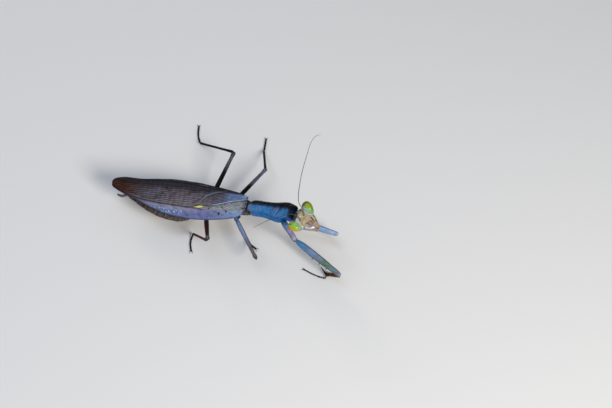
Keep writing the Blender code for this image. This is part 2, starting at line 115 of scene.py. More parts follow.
# A smooth curve through rows of (station, value, ...): cubic Hermite pieces whose slopes are the
# harmonic mean of the neighbours, so nothing overshoots, or their plain mean when free is set.
def readTable(rows, at, free=False):
    rows = np.array(sorted(rows, key=lambda r: r[0]), float)
    x, y = rows[:, 0], rows[:, 1:]
    step = np.diff(x)[:, None]
    rate = np.diff(y, axis=0) / step
    slope = np.zeros_like(y)
    before, after = rate[:-1], rate[1:]
    both = before * after > 0
    safe = np.where(both, before + after, 1.0)
    slope[1:-1] = (before + after) / 2 if free else np.where(both, 2 * before * after / safe, 0.0)
    slope[0], slope[-1] = rate[0], rate[-1]
    at = np.asarray(at, float)
    k = np.clip(np.searchsorted(x, at) - 1, 0, len(x) - 2)
    t = np.clip((at - x[k]) / (x[k + 1] - x[k]), 0, 1)[:, None]
    width = (x[k + 1] - x[k])[:, None]
    return ((2 * t ** 3 - 3 * t ** 2 + 1) * y[k] + (t ** 3 - 2 * t ** 2 + t) * width * slope[k]
            + (3 * t ** 2 - 2 * t ** 3) * y[k + 1] + (t ** 3 - t ** 2) * width * slope[k + 1])


# A smooth line through a few points, sampled at shares of its chord length.
def smoothLine(points, shares, free=True):
    points = np.asarray(points, float)
    run = np.concatenate([[0], np.cumsum(np.linalg.norm(np.diff(points, axis=0), axis=1))])
    return readTable(np.column_stack([run / run[-1], points]), shares, free)


# Shares from 0 to 1 that crowd towards both ends, half of a cosine.
def crowded(count):
    return 0.5 - 0.5 * np.cos(np.linspace(0, np.pi, count))


# The angles of a ring's points, from 0 up to a full turn.
def turns(count):
    return np.linspace(0, 2 * np.pi, count, endpoint=False)


# One colour over a whole grid of points.
def plain(colour, grid):
    return linear(colour) * np.ones(grid.shape[:2] + (1,))


# Colours laid over one another: each (mask, colour) pulls the base towards that colour by its mask.
def layered(base, *layers):
    out = np.array(base, float)
    for mask, colour in layers:
        out = out + (linear(colour) - out) * np.clip(mask, 0, 1)[..., None]
    return out


# A strength times factors. A factor is the name of a field, a soft step (field, low, high) or a bump
# (field, "at", middle, width).
def product(strength, factors, fields):
    mask = np.float64(strength)
    for factor in factors:
        field, *ends = (factor,) if isinstance(factor, str) else factor
        value = fields[field]
        if ends:
            value = bell(value, *ends[1:]) if ends[0] == "at" else rise(*ends, value)
        mask = mask * value
    return mask


# Coats of paint from a table: each row is a strength, a colour or its name, and the mask's factors.
def coated(base, coats, names, fields):
    for strength, colour, *factors in coats:
        base = layered(base, (product(strength, factors, fields), names.get(colour, colour)))
    return base


# Mesh building.

chartScale = 0.02  # UV units for each millimetre


# Six times the volume that faces close in, positive when they face out: the sum of a . (b x c).
def outward(points, faces):
    volume = 0.0
    for corner in range(1, faces.shape[1] - 1):
        a, b, c = points[faces[:, 0]], points[faces[:, corner]], points[faces[:, corner + 1]]
        volume += np.einsum("ij,ij->i", a, np.cross(b, c)).sum()
    return volume


# Puts points, quads and triangles into one mesh, turned outwards, with its paint and its UV map.
def addPiece(name, points, quads, tris, flatMap, paint, look, nodes, crease=60):
    middle = points.mean(axis=0)
    volume = outward(points - middle, quads) + (outward(points - middle, tris) if len(tris) else 0)
    if volume < 0:
        quads, tris = quads[:, ::-1], tris[:, ::-1]
    mesh = bpy.data.meshes.new(name)
    mesh.from_pydata(toRow(points).tolist(), [], quads.tolist() + tris.tolist())
    corners = np.empty(len(mesh.loops), np.int32)
    mesh.loops.foreach_get("vertex_index", corners)
    chart = mesh.uv_layers.new(name="UVMap")
    chart.data.foreach_set("uv", flatMap[corners].astype(np.float32).ravel())
    tone = mesh.attributes.new("paint", "FLOAT_COLOR", "POINT")
    rgba = np.column_stack([np.clip(paint, 0, 1), np.ones(len(points))])
    tone.data.foreach_set("color", rgba.astype(np.float32).ravel())
    mesh.polygons.foreach_set("use_smooth", np.ones(len(mesh.polygons), bool))
    mesh.set_sharp_from_angle(angle=math.radians(crease))
    mesh.materials.append(look)
    mesh.update()
    piece = bpy.data.objects.new(name, mesh)
    bpy.context.scene.collection.objects.link(piece)
    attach(piece, "root")
    if nodes:
        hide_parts(*nodes)
    return piece


# Faces of a tube numbered ring by ring and then its two poles: a grid of quads round and along, and a
# fan of triangles to the pole at each end.
def tubeFaces(rows, around):
    i, j = np.meshgrid(np.arange(rows - 1), np.arange(around), indexing="ij")
    k = (j + 1) % around
    quads = np.stack([i * around + j, i * around + k, (i + 1) * around + k, (i + 1) * around + j], -1)
    edge = np.arange(around)
    nextEdge = (edge + 1) % around
    far, pole = (rows - 1) * around, rows * around
    tris = np.concatenate([np.stack([np.full(around, pole), nextEdge, edge], -1),
                           np.stack([np.full(around, pole + 1), far + edge, far + nextEdge], -1)])
    return quads.reshape(-1, 4), tris


# A closed skin over a row of rings, with a pole in the middle of each end ring.
def ringPiece(name, rings, paint, look, nodes=(), crease=60):
    rows, around = rings.shape[:2]
    quads, tris = tubeFaces(rows, around)

    # the grid as one list, then the mean of its first row and of its last
    def withPoles(grid):
        flat = grid.reshape(rows * around, -1)
        return np.concatenate([flat, grid[0].mean(axis=0).reshape(1, -1),
                               grid[-1].mean(axis=0).reshape(1, -1)])

    run = np.concatenate([[0], np.cumsum(np.linalg.norm(np.diff(rings.mean(axis=1), axis=0), axis=1))])
    girth = np.linalg.norm(rings[rows // 2] - np.roll(rings[rows // 2], 1, axis=0), axis=1).sum()
    chart = np.stack(np.broadcast_arrays(np.linspace(0, girth, around)[None, :], run[:, None]),
                     -1) * chartScale
    return addPiece(name, withPoles(rings), quads, tris, withPoles(chart), withPoles(paint), look,
                    nodes, crease)


# A closed sheet: an upper and a lower grid, joined by a strip of quads round their shared border.
def slabPiece(name, upper, lower, chart, paint, look, nodes=(), crease=50):
    rows, across = upper.shape[:2]
    count = rows * across
    i, j = np.meshgrid(np.arange(rows - 1), np.arange(across - 1), indexing="ij")
    a = i * across + j
    top = np.stack([a, a + 1, a + across + 1, a + across], -1).reshape(-1, 4)
    grid = np.arange(count).reshape(rows, across)
    border = np.concatenate([grid[0], grid[1:, -1], grid[-1, -2::-1], grid[-2:0:-1, 0]])
    onward = np.roll(border, -1)
    strip = np.stack([onward, border, border + count, onward + count], -1)
    quads = np.concatenate([top, top[:, ::-1] + count, strip])
    points = np.concatenate([upper.reshape(-1, 3), lower.reshape(-1, 3)])
    double = lambda values: np.concatenate([values.reshape(count, -1)] * 2)
    return addPiece(name, points, quads, np.empty((0, 3), int), double(chart * chartScale), double(paint),
                    look, nodes, crease)


# Rounded rings: each is centre + across * half * cos + upward * reach * sin, with the cosine and sine
# raised to 2 / power and the underside drawn in by lean.
def superRings(centre, across, upward, half, top, bottom, count, power=2.0, lean=0.0, swell=None):
    t = turns(count)
    c = np.sign(np.cos(t)) * np.abs(np.cos(t)) ** (2 / power)
    s = np.sign(np.sin(t)) * np.abs(np.sin(t)) ** (2 / power)
    column = lambda v: np.broadcast_to(np.asarray(v, float), (len(centre),))[:, None]
    x = c[None, :] * column(half) * (1 + lean * np.minimum(s, 0))[None, :]
    z = s[None, :] * np.where(s > 0, column(top), column(bottom))
    if swell is not None:
        x, z = x * (1 + swell), z * (1 + swell)
    across, upward = np.broadcast_to(across, centre.shape), np.broadcast_to(upward, centre.shape)
    return centre[:, None] + across[:, None] * x[..., None] + upward[:, None] * z[..., None]


# Frames along a line: its own direction, a level direction across it and one square to both.
def lineFrames(line, reference):
    ahead = unit(np.gradient(line, axis=0))
    across = unit(np.cross(np.asarray(reference, float), ahead))
    return ahead, across, np.cross(ahead, across)


# Rounds a limb's two ends: the half circle root of 1 - (1 - s / e)^2 over the share e at each end.
def roundedEnds(shares, startShare, endShare):
    near = np.clip(shares / startShare, 0, 1)
    far = np.clip((1 - shares) / endShare, 0, 1)
    return np.sqrt(np.clip(1 - (1 - near) ** 2, 0.02, 1)) * np.sqrt(np.clip(1 - (1 - far) ** 2, 0.02, 1))


# The light's way, which painted shade darkens the limbs away from, and the way the limbs are seen from:
# the two sides square to it and to the limb, turned from view, get painted shade, partly also dark keels.
lightWay = np.array([0.15, -0.25, 0.95])
viewWay = np.array([0.0302, -0.5970, 0.8017])
keelShadeStart, keelShadeFull = 0.62, 0.92
coarseGrain, fineGrain = 1.1, 0.35


# A limb: rings of table width and height carried along a smooth line, with its paint read off a table
# of (share, red, green, blue), darkened by painted shade away from the light and along its two sides seen
# edge-on, partly dark keels.
def limbPiece(name, points, widths, colours, look, nodes, reference=(0, 0, 1), rows=70, around=24,
              ends=None, under=0.55, relief=None, free=False, mottle=0.12, seed=1, keelShade=0.0):
    shares = crowded(rows)
    line = smoothLine(points, shares, free)
    length = np.linalg.norm(np.diff(line, axis=0), axis=1).sum()
    size = readTable(widths, shares)
    half, high = size[:, 0], size[:, -1]
    startEnd = ends or (min(0.45, 0.8 * half[1] / length), min(0.45, 0.8 * half[-2] / length))
    taper = roundedEnds(shares, *startEnd)
    ahead, across, upward = lineFrames(line, reference)
    swell = None if relief is None else relief(shares[:, None] * length, turns(around)[None, :], length)
    rings = superRings(line, across, upward, half * taper, high * taper, high * taper, around, swell=swell)
    tone = linear(readTable(colours, shares))[:, None, :] * np.ones((1, around, 1))
    # painted shade: the paint darkens on the side turned from lightWay, down to a share under of its colour
    lit = ((rings - line[:, None]) @ lightWay) / np.maximum(half, high)[:, None]
    tone = tone * (under + (1 - under) * rise(-0.7, 0.6, lit))[..., None]
    # painted shade, partly dark keels: darker along the two sides that are seen edge-on
    beside = np.abs(np.einsum("rak,rk->ra", unit(rings - line[:, None]), unit(np.cross(viewWay, ahead))))
    tone = tone * (1 - keelShade * rise(keelShadeStart, keelShadeFull, beside))[..., None]
    grain = ripple(rings, coarseGrain, seed) + ripple(rings, fineGrain, seed + 1)
    tone = tone * (1 + mottle * grain)[..., None]
    return ringPiece(name, rings, tone, look, nodes)


# Rings of a thorn as shares of its length, and the radius in mm that it keeps near its tip.
spikeStops = [0.0, 0.25, 0.55, 0.82, 0.97]
spikeTipRadius = 0.012


# Many thorns as one mesh: each is a cone of a few rings from root to tip, bowed along bend, that
# thins as (1 - t)^0.8 and ends in a point.
def spikePiece(name, roots, tips, radii, bend, colour, look, nodes=(), sides=6):
    roots, tips, bend = (np.asarray(v, float) for v in (roots, tips, bend))
    radii = np.broadcast_to(np.asarray(radii, float), (len(roots),))
    t = np.array(spikeStops)
    way = unit(tips - roots)
    helper = np.where(np.abs(way[:, 2:]) > 0.9, [[1.0, 0, 0]], [[0, 0, 1.0]])
    side = unit(np.cross(way, helper))
    other = np.cross(way, side)
    spin = turns(sides)
    centre = roots[:, None] + (tips - roots)[:, None] * t[None, :, None] \
        + bend[:, None] * (4 * t * (1 - t))[None, :, None]
    wide = radii[:, None] * (1 - t[None, :]) ** 0.8 + spikeTipRadius
    ring = side[:, None, None] * np.cos(spin)[:, None] + other[:, None, None] * np.sin(spin)[:, None]
    points = centre[:, :, None] + ring * wide[:, :, None, None]
    body = points.reshape(len(roots), -1, 3)
    body = np.concatenate([body, roots[:, None], tips[:, None]], axis=1)
    quad, tri = tubeFaces(len(t), sides)
    shift = (np.arange(len(roots)) * body.shape[1])[:, None, None]
    flat = body.reshape(-1, 3)
    share = np.tile(np.concatenate([np.repeat(t, sides), [0, 1]]), len(roots))
    tone = linear(colour)[None, :] * (0.75 + 0.5 * share)[:, None]
    chart = np.column_stack([share, share]) * chartScale
    return addPiece(name, flat, (quad[None] + shift).reshape(-1, 4), (tri[None] + shift).reshape(-1, 3),
                    chart, tone, look, nodes)


# Materials.

# One finish per kind of shell. Sizes are in millimetres; bump heights too.
finishes = {
    "pronotumShell": {"mottleSize": 1.3, "mottle": 0.20, "grainSize": 0.22, "grain": 0.018, "pitSize": 0.28,
                      "pit": 0.020, "rough": 0.48, "roughSpread": 0.14, "shine": 0.035, "coat": 0.0,
                      "coatRough": 0.22},
    "wingLeather": {"mottleSize": 1.8, "mottle": 0.16, "grainSize": 0.16, "grain": 0.010, "pitSize": 0.40,
                    "pit": 0.010, "rough": 0.54, "roughSpread": 0.16, "shine": 0.05, "coat": 0.01,
                    "coatRough": 0.35,
                    "netSize": 0.46, "net": 0.12, "netHeight": 0.016},
    "eyeGlass": {"mottleSize": 0.9, "mottle": 0.12, "grainSize": 0.5, "grain": 0.0, "pitSize": 0.055,
                 "pit": 0.004, "rough": 0.24, "roughSpread": 0.06, "shine": 0.10, "coat": 0.22,
                 "coatRough": 0.05},
    "faceShell": {"mottleSize": 0.55, "mottle": 0.14, "grainSize": 0.16, "grain": 0.006, "pitSize": 0.24,
                  "pit": 0.006, "rough": 0.40, "roughSpread": 0.15, "shine": 0.18, "coat": 0.05,
                  "coatRough": 0.20},
    "legShell": {"mottleSize": 0.8, "mottle": 0.20, "grainSize": 0.14, "grain": 0.012, "pitSize": 0.22,
                 "pit": 0.012, "rough": 0.46, "roughSpread": 0.14, "shine": 0.06, "coat": 0.015,
                 "coatRough": 0.25},
    "bellyShell": {"mottleSize": 0.9, "mottle": 0.26, "grainSize": 0.18, "grain": 0.016, "pitSize": 0.26,
                   "pit": 0.014, "rough": 0.48, "roughSpread": 0.14, "shine": 0.18, "coat": 0.04,
                   "coatRough": 0.30},
    "feelerShell": {"mottleSize": 0.5, "mottle": 0.20, "grainSize": 0.10, "grain": 0.008, "pitSize": 0.14,
                    "pit": 0.006, "rough": 0.50, "roughSpread": 0.12, "shine": 0.20, "coat": 0.04,
                    "coatRough": 0.30},
}


# Shell finish: the paint times a slow and a fine noise, with small pits and grain raised as bump, and
# a roughness that wanders with the noise. Wings get a net of fine cross veins, raised and a little paler.
def shellMaterial(name, values):
    look = bpy.data.materials.new(name)
    look.use_nodes = True
    tree = look.node_tree
    shader = tree.nodes["Principled BSDF"]
    add = tree.nodes.new
    join = tree.links.new
    place = add("ShaderNodeTexCoord").outputs["Object"]

    # noise whose waves are about size millimetres long
    def noise(size, detail):
        node = add("ShaderNodeTexNoise")
        node.inputs["Scale"].default_value = 1000 / size
        node.inputs["Detail"].default_value = detail
        join(place, node.inputs["Vector"])
        return node.outputs["Fac"]

    # a straight line from low..high to toLow..toHigh, held at both ends
    def remap(source, low, high, toLow, toHigh):
        node = add("ShaderNodeMapRange")
        for label, value in (("From Min", low), ("From Max", high), ("To Min", toLow), ("To Max", toHigh)):
            node.inputs[label].default_value = value
        join(source, node.inputs["Value"])
        return node.outputs["Result"]

    # two values joined by one sum: add, multiply and so on
    def combine(kind, first, second):
        node = add("ShaderNodeMath")
        node.operation = kind
        for socket, value in zip(node.inputs, (first, second)):
            if isinstance(value, (int, float)):
                socket.default_value = value
            else:
                join(value, socket)
        return node.outputs["Value"]

    paint = add("ShaderNodeAttribute")
    paint.attribute_name = "paint"
    slow, fine = noise(values["mottleSize"], 4), noise(values["grainSize"], 3)
    spread = values["mottle"]
    shade = combine("MULTIPLY", remap(slow, 0.3, 0.7, 1 - spread, 1 + spread),
                    remap(fine, 0.3, 0.7, 1 - spread * 0.5, 1 + spread * 0.5))
    pits = add("ShaderNodeTexVoronoi")
    pits.inputs["Scale"].default_value = 1000 / values["pitSize"]
    join(place, pits.inputs["Vector"])
    pit = remap(pits.outputs["Distance"], 0.1, 0.7, 0.0, 1.0)
    shade = combine("MULTIPLY", shade, remap(pit, 0.0, 1.0, 1.0 + spread * 0.3, 1.0 - spread * 0.4))
    height = combine("ADD", combine("MULTIPLY", fine, values["grain"]),
                     combine("MULTIPLY", combine("SUBTRACT", 1.0, pit), values["pit"]))
    if "netSize" in values:
        net = add("ShaderNodeTexVoronoi")
        net.feature = "DISTANCE_TO_EDGE"
        net.inputs["Scale"].default_value = 1000 / values["netSize"]
        join(place, net.inputs["Vector"])
        thread = remap(net.outputs["Distance"], 0.02, 0.16, 1.0, 0.0)
        shade = combine("MULTIPLY", shade, remap(thread, 0.0, 1.0, 1.0 - values["net"], 1.0 + values["net"]))
        height = combine("ADD", height, combine("MULTIPLY", thread, values["netHeight"]))
    tone = add("ShaderNodeVectorMath")
    tone.operation = "SCALE"
    join(paint.outputs["Color"], tone.inputs[0])
    join(shade, tone.inputs["Scale"])
    join(tone.outputs["Vector"], shader.inputs["Base Color"])
    rough = values["rough"]
    join(remap(slow, 0.3, 0.7, rough - values["roughSpread"], rough + values["roughSpread"]),
         shader.inputs["Roughness"])
    bump = add("ShaderNodeBump")
    bump.inputs["Strength"].default_value = 1.0
    bump.inputs["Distance"].default_value = metresPerMm
    join(height, bump.inputs["Height"])
    join(bump.outputs["Normal"], shader.inputs["Normal"])
    shader.inputs["Specular IOR Level"].default_value = values["shine"]
    shader.inputs["Coat Weight"].default_value = values["coat"]
    shader.inputs["Coat Roughness"].default_value = values["coatRough"]
    return look


looks = {name: shellMaterial(name, values) for name, values in finishes.items()}
print("materials made", len(looks))


# Camera, floor and lights.
studio = {
    "aim": (16.63, 3.62, 12.55), "azimuth": 2.9, "elevation": 53.29, "roll": 8.75,
    "distance": 510.0, "lens": 100.0, "sensor": 36.0, "near": 0.02, "far": 20.0,
    "floorSize": 2.4, "floorColour": (222, 221, 218), "floorRough": 0.9, "lampAim": (0, 0, 8),
    "skyColour": (228, 236, 250), "skyStrength": 0.34,
    # place and size in mm, watts, colour
    "lamps": {"keyLamp": ((280, -300, 330), 200, 2.1, (255, 250, 242)),
              "topLamp": ((-150, -100, 480), 340, 0.65, (216, 229, 255)),
              "backLamp": ((-300, 280, 240), 160, 0.28, (255, 246, 235))},
}


# The camera looks along -c, where c leans back from straight down by the elevation and is swung by
# the azimuth; the roll turns its right and up about c.
def makeCamera():
    a, e, r = (math.radians(studio[k]) for k in ("azimuth", "elevation", "roll"))
    back = np.array([math.sin(a) * math.cos(e), -math.cos(a) * math.cos(e), math.sin(e)])
    level = np.array([math.cos(a), math.sin(a), 0.0])
    upright = np.cross(back, level)
    right = math.cos(r) * level + math.sin(r) * upright
    up = -math.sin(r) * level + math.cos(r) * upright
    data = bpy.data.cameras.new("camera")
    data.lens, data.sensor_width = studio["lens"], studio["sensor"]
    data.clip_start, data.clip_end = studio["near"], studio["far"]
    camera = bpy.data.objects.new("camera", data)
    place = toRow(np.array(studio["aim"]) + back * studio["distance"])
    camera.matrix_world = Matrix([[right[i], up[i], back[i], place[i]] for i in range(3)] + [[0, 0, 0, 1]])
    bpy.context.scene.collection.objects.link(camera)
    bpy.context.scene.camera = camera


# A square floor, one disk lamp for each row of the table, turned towards the mantis, and an even sky.
def makeStudio():
    size = studio["floorSize"]
    ground = bpy.data.meshes.new("floor")
    corners = [(-size, -size, 0), (size, -size, 0), (size, size, 0), (-size, size, 0)]
    ground.from_pydata(corners, [], [(0, 1, 2, 3)])
    floor = bpy.data.objects.new("floor", ground)
    bpy.context.scene.collection.objects.link(floor)
    look = bpy.data.materials.new("floorPaper")
    look.use_nodes = True
    shader = look.node_tree.nodes["Principled BSDF"]
    shader.inputs["Base Color"].default_value = (*linear(studio["floorColour"]), 1)
    shader.inputs["Roughness"].default_value = studio["floorRough"]
    ground.materials.append(look)
    for name, (place, wide, watts, colour) in studio["lamps"].items():
        data = bpy.data.lights.new(name, "AREA")
        data.shape, data.size, data.energy = "DISK", wide * metresPerMm, watts
        data.color = linear(colour)
        lamp = bpy.data.objects.new(name, data)
        where = toRow(place)
        back = unit(where - toRow(studio["lampAim"]))
        side = unit(np.cross((0, 0, 1), back))
        up = np.cross(back, side)
        lamp.matrix_world = Matrix([[side[i], up[i], back[i], where[i]] for i in range(3)] + [[0, 0, 0, 1]])
        bpy.context.scene.collection.objects.link(lamp)
    world = bpy.data.worlds.new("studioWorld")
    world.use_nodes = True
    sky = world.node_tree.nodes["Background"]
    sky.inputs["Color"].default_value = (*linear(studio["skyColour"]), 1)
    sky.inputs["Strength"].default_value = studio["skyStrength"]
    bpy.context.scene.world = world
    bpy.context.scene.view_settings.view_transform = "Standard"


makeCamera()
makeStudio()
print("camera, floor and lights set")


# Prothorax.

# The prothorax's own axes: its rear end, then its way forward, which rises and turns to the right.
proBase = np.array([0.0, 0.0, 11.55])
proRise, proYaw = math.radians(31.35), math.radians(22.82)
proAxis = np.array([math.cos(proRise) * math.cos(proYaw), -math.cos(proRise) * math.sin(proYaw),
                    math.sin(proRise)])
proLeft = unit(np.cross((0, 0, 1), proAxis))
proUp = np.cross(proAxis, proLeft)


# A point of the prothorax: s along its axis from the rear end, l to the left, u up.
def pro(s, l, u):
    s, l, u = np.broadcast_arrays(s, l, u)
    return proBase + s[..., None] * proAxis + l[..., None] * proLeft + u[..., None] * proUp


pronotumShape = {
    # distance along, half width, arch height, height of the side margin
    "plan": [(0.14, 0.55, 0.22, -0.02), (0.30, 1.35, 0.55, -0.03), (0.50, 1.78, 0.74, -0.04),
             (0.85, 2.12, 0.92, -0.06), (2.2, 2.33, 1.00, -0.10), (4.5, 2.25, 1.00, -0.10),
             (7.5, 2.27, 1.00, -0.10), (10.0, 2.65, 1.10, -0.15), (11.6, 3.10, 1.25, -0.20),
             (12.6, 3.30, 1.24, -0.25), (13.2, 3.34, 1.24, -0.25), (13.9, 3.27, 1.25, -0.25),
             (15.6, 2.78, 1.15, -0.20), (17.0, 2.35, 1.00, -0.16), (17.8, 1.85, 0.80, -0.12),
             (18.25, 1.25, 0.55, -0.10), (18.45, 0.50, 0.24, -0.10)],
    "rows": 300, "across": 131, "archPower": 2.2, "thickness": 0.26, "undercut": 0.16, "underArch": 0.22,
    "keelHeight": 0.17, "keelWidth": 0.13, "rimHeight": 0.10, "rimAt": 0.93, "rimWidth": 0.045,
    "toothStep": 0.46, "toothSize": 0.085,
    # the groove over the forelegs and a fainter one ahead of it: place along, bend, depth, width
    "sulcus": (13.2, -0.088, 0.30, 0.22), "frontGroove": (14.9, 0.12, 0.10, 0.3),
    # hollows on both sides: distance from the middle, width, place along, length, depth
    "hollows": [(1.15, 0.5, 14.6, 1.2, 0.12), (0.95, 0.45, 9.4, 2.2, 0.10), (0.95, 0.45, 3.2, 1.5, 0.10)],
    # uneven waves: height, size, seed
    "waves": [(0.035, 1.6, 11), (0.018, 0.55, 12)],
    "blue": (70, 126, 180), "paleBlue": (92, 136, 184), "deepBlue": (14, 104, 168),
    "greyBlue": (120, 130, 152),
    "ridge": (30, 46, 62), "dark": (5, 4, 4), "violet": (124, 124, 152), "vivid": (0, 148, 214),
    "plum": (70, 52, 74), "indigo": (52, 46, 84), "seaBlue": (20, 110, 170), "black": (9, 8, 10),
    "rimBrown": (60, 50, 50), "grooveDark": (26, 24, 38), "toothDark": (30, 34, 48),
    "coats": [(0.55, "paleBlue", ("slow", -0.1, 0.9)), (0.5, "deepBlue", ("fast", 0.1, 0.9)),
              (0.8, "greyBlue", ("along", "at", 1.0, 1.3), "uneven"),
              (0.75, "vivid", ("along", "at", 8.5, 0.7), ("share", "at", -0.88, 0.16)),
              (0.8, "violet", ("along", "at", 12.2, 0.75), ("edge", 0.8, 0.3)),
              (0.75, "plum", ("along", "at", 11.0, 0.5), ("left", "at", -0.9, 0.8), ("fast", -0.2, 0.5)),
              (0.75, "indigo", ("along", "at", 13.95, 0.5), ("left", "at", -0.6, 1.0), ("fast", -0.4, 0.4)),
              (0.55, "seaBlue", ("along", "at", 15.0, 1.2), ("share", -0.2, -0.7)),
              # painted shade: the shield's left half is near black, edged by a dark slate band just right of
              # the keel
              (0.75, "ridge", ("halfShadeLine", -0.42, -0.10)), (0.96, "dark", ("shadedHalfLine", -0.12, 0.04)),
              # the head's shadow painted on the front of the shield
              (0.90, "black", ("headShadowLine", 15.4, 17.0)),
              (0.35, "rimBrown", ("edge", "at", 0.97, 0.04), ("share", -0.35, 0.9)),
              (0.8, "grooveDark", ("grooved", 0.45, 0.95)), (0.30, "toothDark", "teeth", ("edge", 0.9, 1.0))],
}


# The shield: height = margin + arch * (1 - |share|^2.2) + a keel along the middle + a raised rim,
# less a curved groove over the forelegs and two shallow hollows in front of it.
def makePronotum():
    v = pronotumShape
    s = np.linspace(v["plan"][0][0], v["plan"][-1][0], v["rows"])[:, None]
    share = np.sin(np.linspace(-np.pi / 2, np.pi / 2, v["across"]))[None, :]
    half, arch, margin = readTable(v["plan"], s[:, 0]).T[:, :, None]
    edge = np.abs(share)
    teeth = np.maximum(0, np.sin(2 * np.pi * (s + 0.6 * np.sin(s * 2.1)) / v["toothStep"])) ** 3
    reach = half + v["toothSize"] * teeth * rise(0.86, 1.0, edge) * rise(0.8, 2.0, s) * rise(17.6, 16.5, s)
    l = share * reach
    keelFade = rise(0.3, 1.5, s) - 0.55 * rise(11.5, 13.0, s) - 0.25 * rise(16.0, 18.0, s)
    keel = v["keelHeight"] * bell(l, 0, v["keelWidth"]) * keelFade
    at, bend, deep, wide = v["sulcus"]
    groove = bell(s, at + bend * l ** 2, wide) * rise(1.02, 0.80, edge)
    at, bend, frontDeep, wide = v["frontGroove"]
    frontGroove = bell(s, at + bend * l ** 2, wide) * rise(0.75, 0.4, edge)
    hollow = sum(sunk * bell(np.abs(l), aside, wide) * bell(s, at, long)
                 for aside, wide, at, long, sunk in v["hollows"])
    rim = v["rimHeight"] * bell(edge, v["rimAt"], v["rimWidth"]) * rise(0.2, 1.2, s)
    top = margin + arch * (1 - edge ** v["archPower"]) + keel + rim \
        - deep * groove - frontDeep * frontGroove - hollow
    points = pro(s, l, top)
    top = top + sum(high * ripple(points, size, seed) for high, size, seed in v["waves"])
    points = pro(s, l, top)
    under = margin - v["undercut"] - v["underArch"] * (1 - edge ** 2)
    lower = pro(s, l * 0.985, np.minimum(under, top - v["thickness"]))
    slow, fast = ripple(points, 3.2, 13), ripple(points, 1.1, 14)
    fields = {"slow": slow, "fast": fast, "along": s, "share": share, "edge": edge, "left": l, "teeth": teeth,
              "uneven": 0.75 + 0.25 * fast, "halfShadeLine": share + 0.05 * fast, "shadedHalfLine": share + 0.04 * fast,
              "headShadowLine": s + 0.5 * share, "grooved": groove}
    tone = coated(plain(v["blue"], points), v["coats"], v, fields)
    chart = np.stack(np.broadcast_arrays(l, s), -1)
    slabPiece("pronotumShield", points, lower, chart, tone, looks["pronotumShell"], ["pronotum"],
              crease=70)


prosternumShape = {
    # distance along, half width, half depth, height of the middle
    "plan": [(0.45, 1.70, 1.05, -2.15), (1.4, 1.90, 1.20, -2.25), (4.0, 1.90, 1.22, -2.25),
             (6.5, 2.05, 1.32, -2.30), (9.0, 2.42, 1.47, -2.45), (11.0, 2.78, 1.57, -2.55),
             (12.2, 2.84, 1.50, -2.55), (13.4, 2.35, 1.28, -2.38), (15.6, 1.55, 1.15, -2.20),
             (16.9, 1.25, 1.05, -2.15), (17.9, 0.95, 0.85, -2.15)],
    "rearEnd": (0.30, 0.7), "frontEnd": (18.05, 0.6), "around": 96, "power": 2.4, "lean": 0.12,
    "overlap": 0.75,
    "grooves": [1.9, 5.2, 8.4, 12.2, 14.3, 16.2], "grooveDepth": 0.06, "grooveWidth": 0.16,
    "keelHeight": 0.05, "keelWidth": 0.16,
    "belly": (92, 74, 66), "flank": (50, 122, 192), "shade": (8, 6, 8), "paleBlue": (76, 132, 184),
    "rearGrey": (124, 128, 156), "grooveBlue": (34, 50, 74),
    "coats": [(0.5, "paleBlue", ("fast", 0.0, 0.9)), (0.8, "rearGrey", ("along", 3.0, 1.0)),
              (0.95, "shade", ("along", 15.9, 16.8)), (0.8, "belly", "down"),
              (0.6, "grooveBlue", ("groove", 0.02, 0.06)), (0.9, "shade", ("left", 0.0, 0.6))],
}


# Underside of the prothorax: superellipse rings with a keel and cross grooves below, carried up
# against the shield so that no gap shows.
def makeProsternum():
    v = prosternumShape
    s = np.concatenate([[0.36], np.linspace(0.40, 17.95, 180), [18.0]])
    half, deep, mid = readTable(v["plan"], s).T
    (rear, rearLong), (front, frontLong) = v["rearEnd"], v["frontEnd"]
    closing = np.sqrt(np.clip(1 - (1 - np.clip((s - rear) / rearLong, 0, 1)) ** 2, 0.02, 1)) \
        * np.sqrt(np.clip(1 - (1 - np.clip((front - s) / frontLong, 0, 1)) ** 2, 0.05, 1))
    t = turns(v["around"])
    down = rise(-0.2, -0.9, np.sin(t))[None, :]
    groove = v["grooveDepth"] * sum(bell(s, at, v["grooveWidth"]) for at in v["grooves"])[:, None]
    swell = v["keelHeight"] * bell(np.cos(t), 0, v["keelWidth"])[None, :] * down - groove * (0.4 + 0.6 * down)
    rings = superRings(pro(s, 0.0, mid), proLeft, proUp, half * closing, (deep + v["overlap"]) * closing,
                       deep * closing, v["around"], v["power"], v["lean"], swell)
    fields = {"fast": ripple(rings, 1.0, 21), "along": s[:, None], "down": down, "groove": groove,
              "left": np.cos(t)[None, :]}
    tone = coated(plain(v["flank"], rings), v["coats"], v, fields)
    ringPiece("prothoraxBelly", rings, tone, looks["pronotumShell"], ["prosternum"])


makePronotum()
makeProsternum()
print("prothorax made")


# Thorax and abdomen.

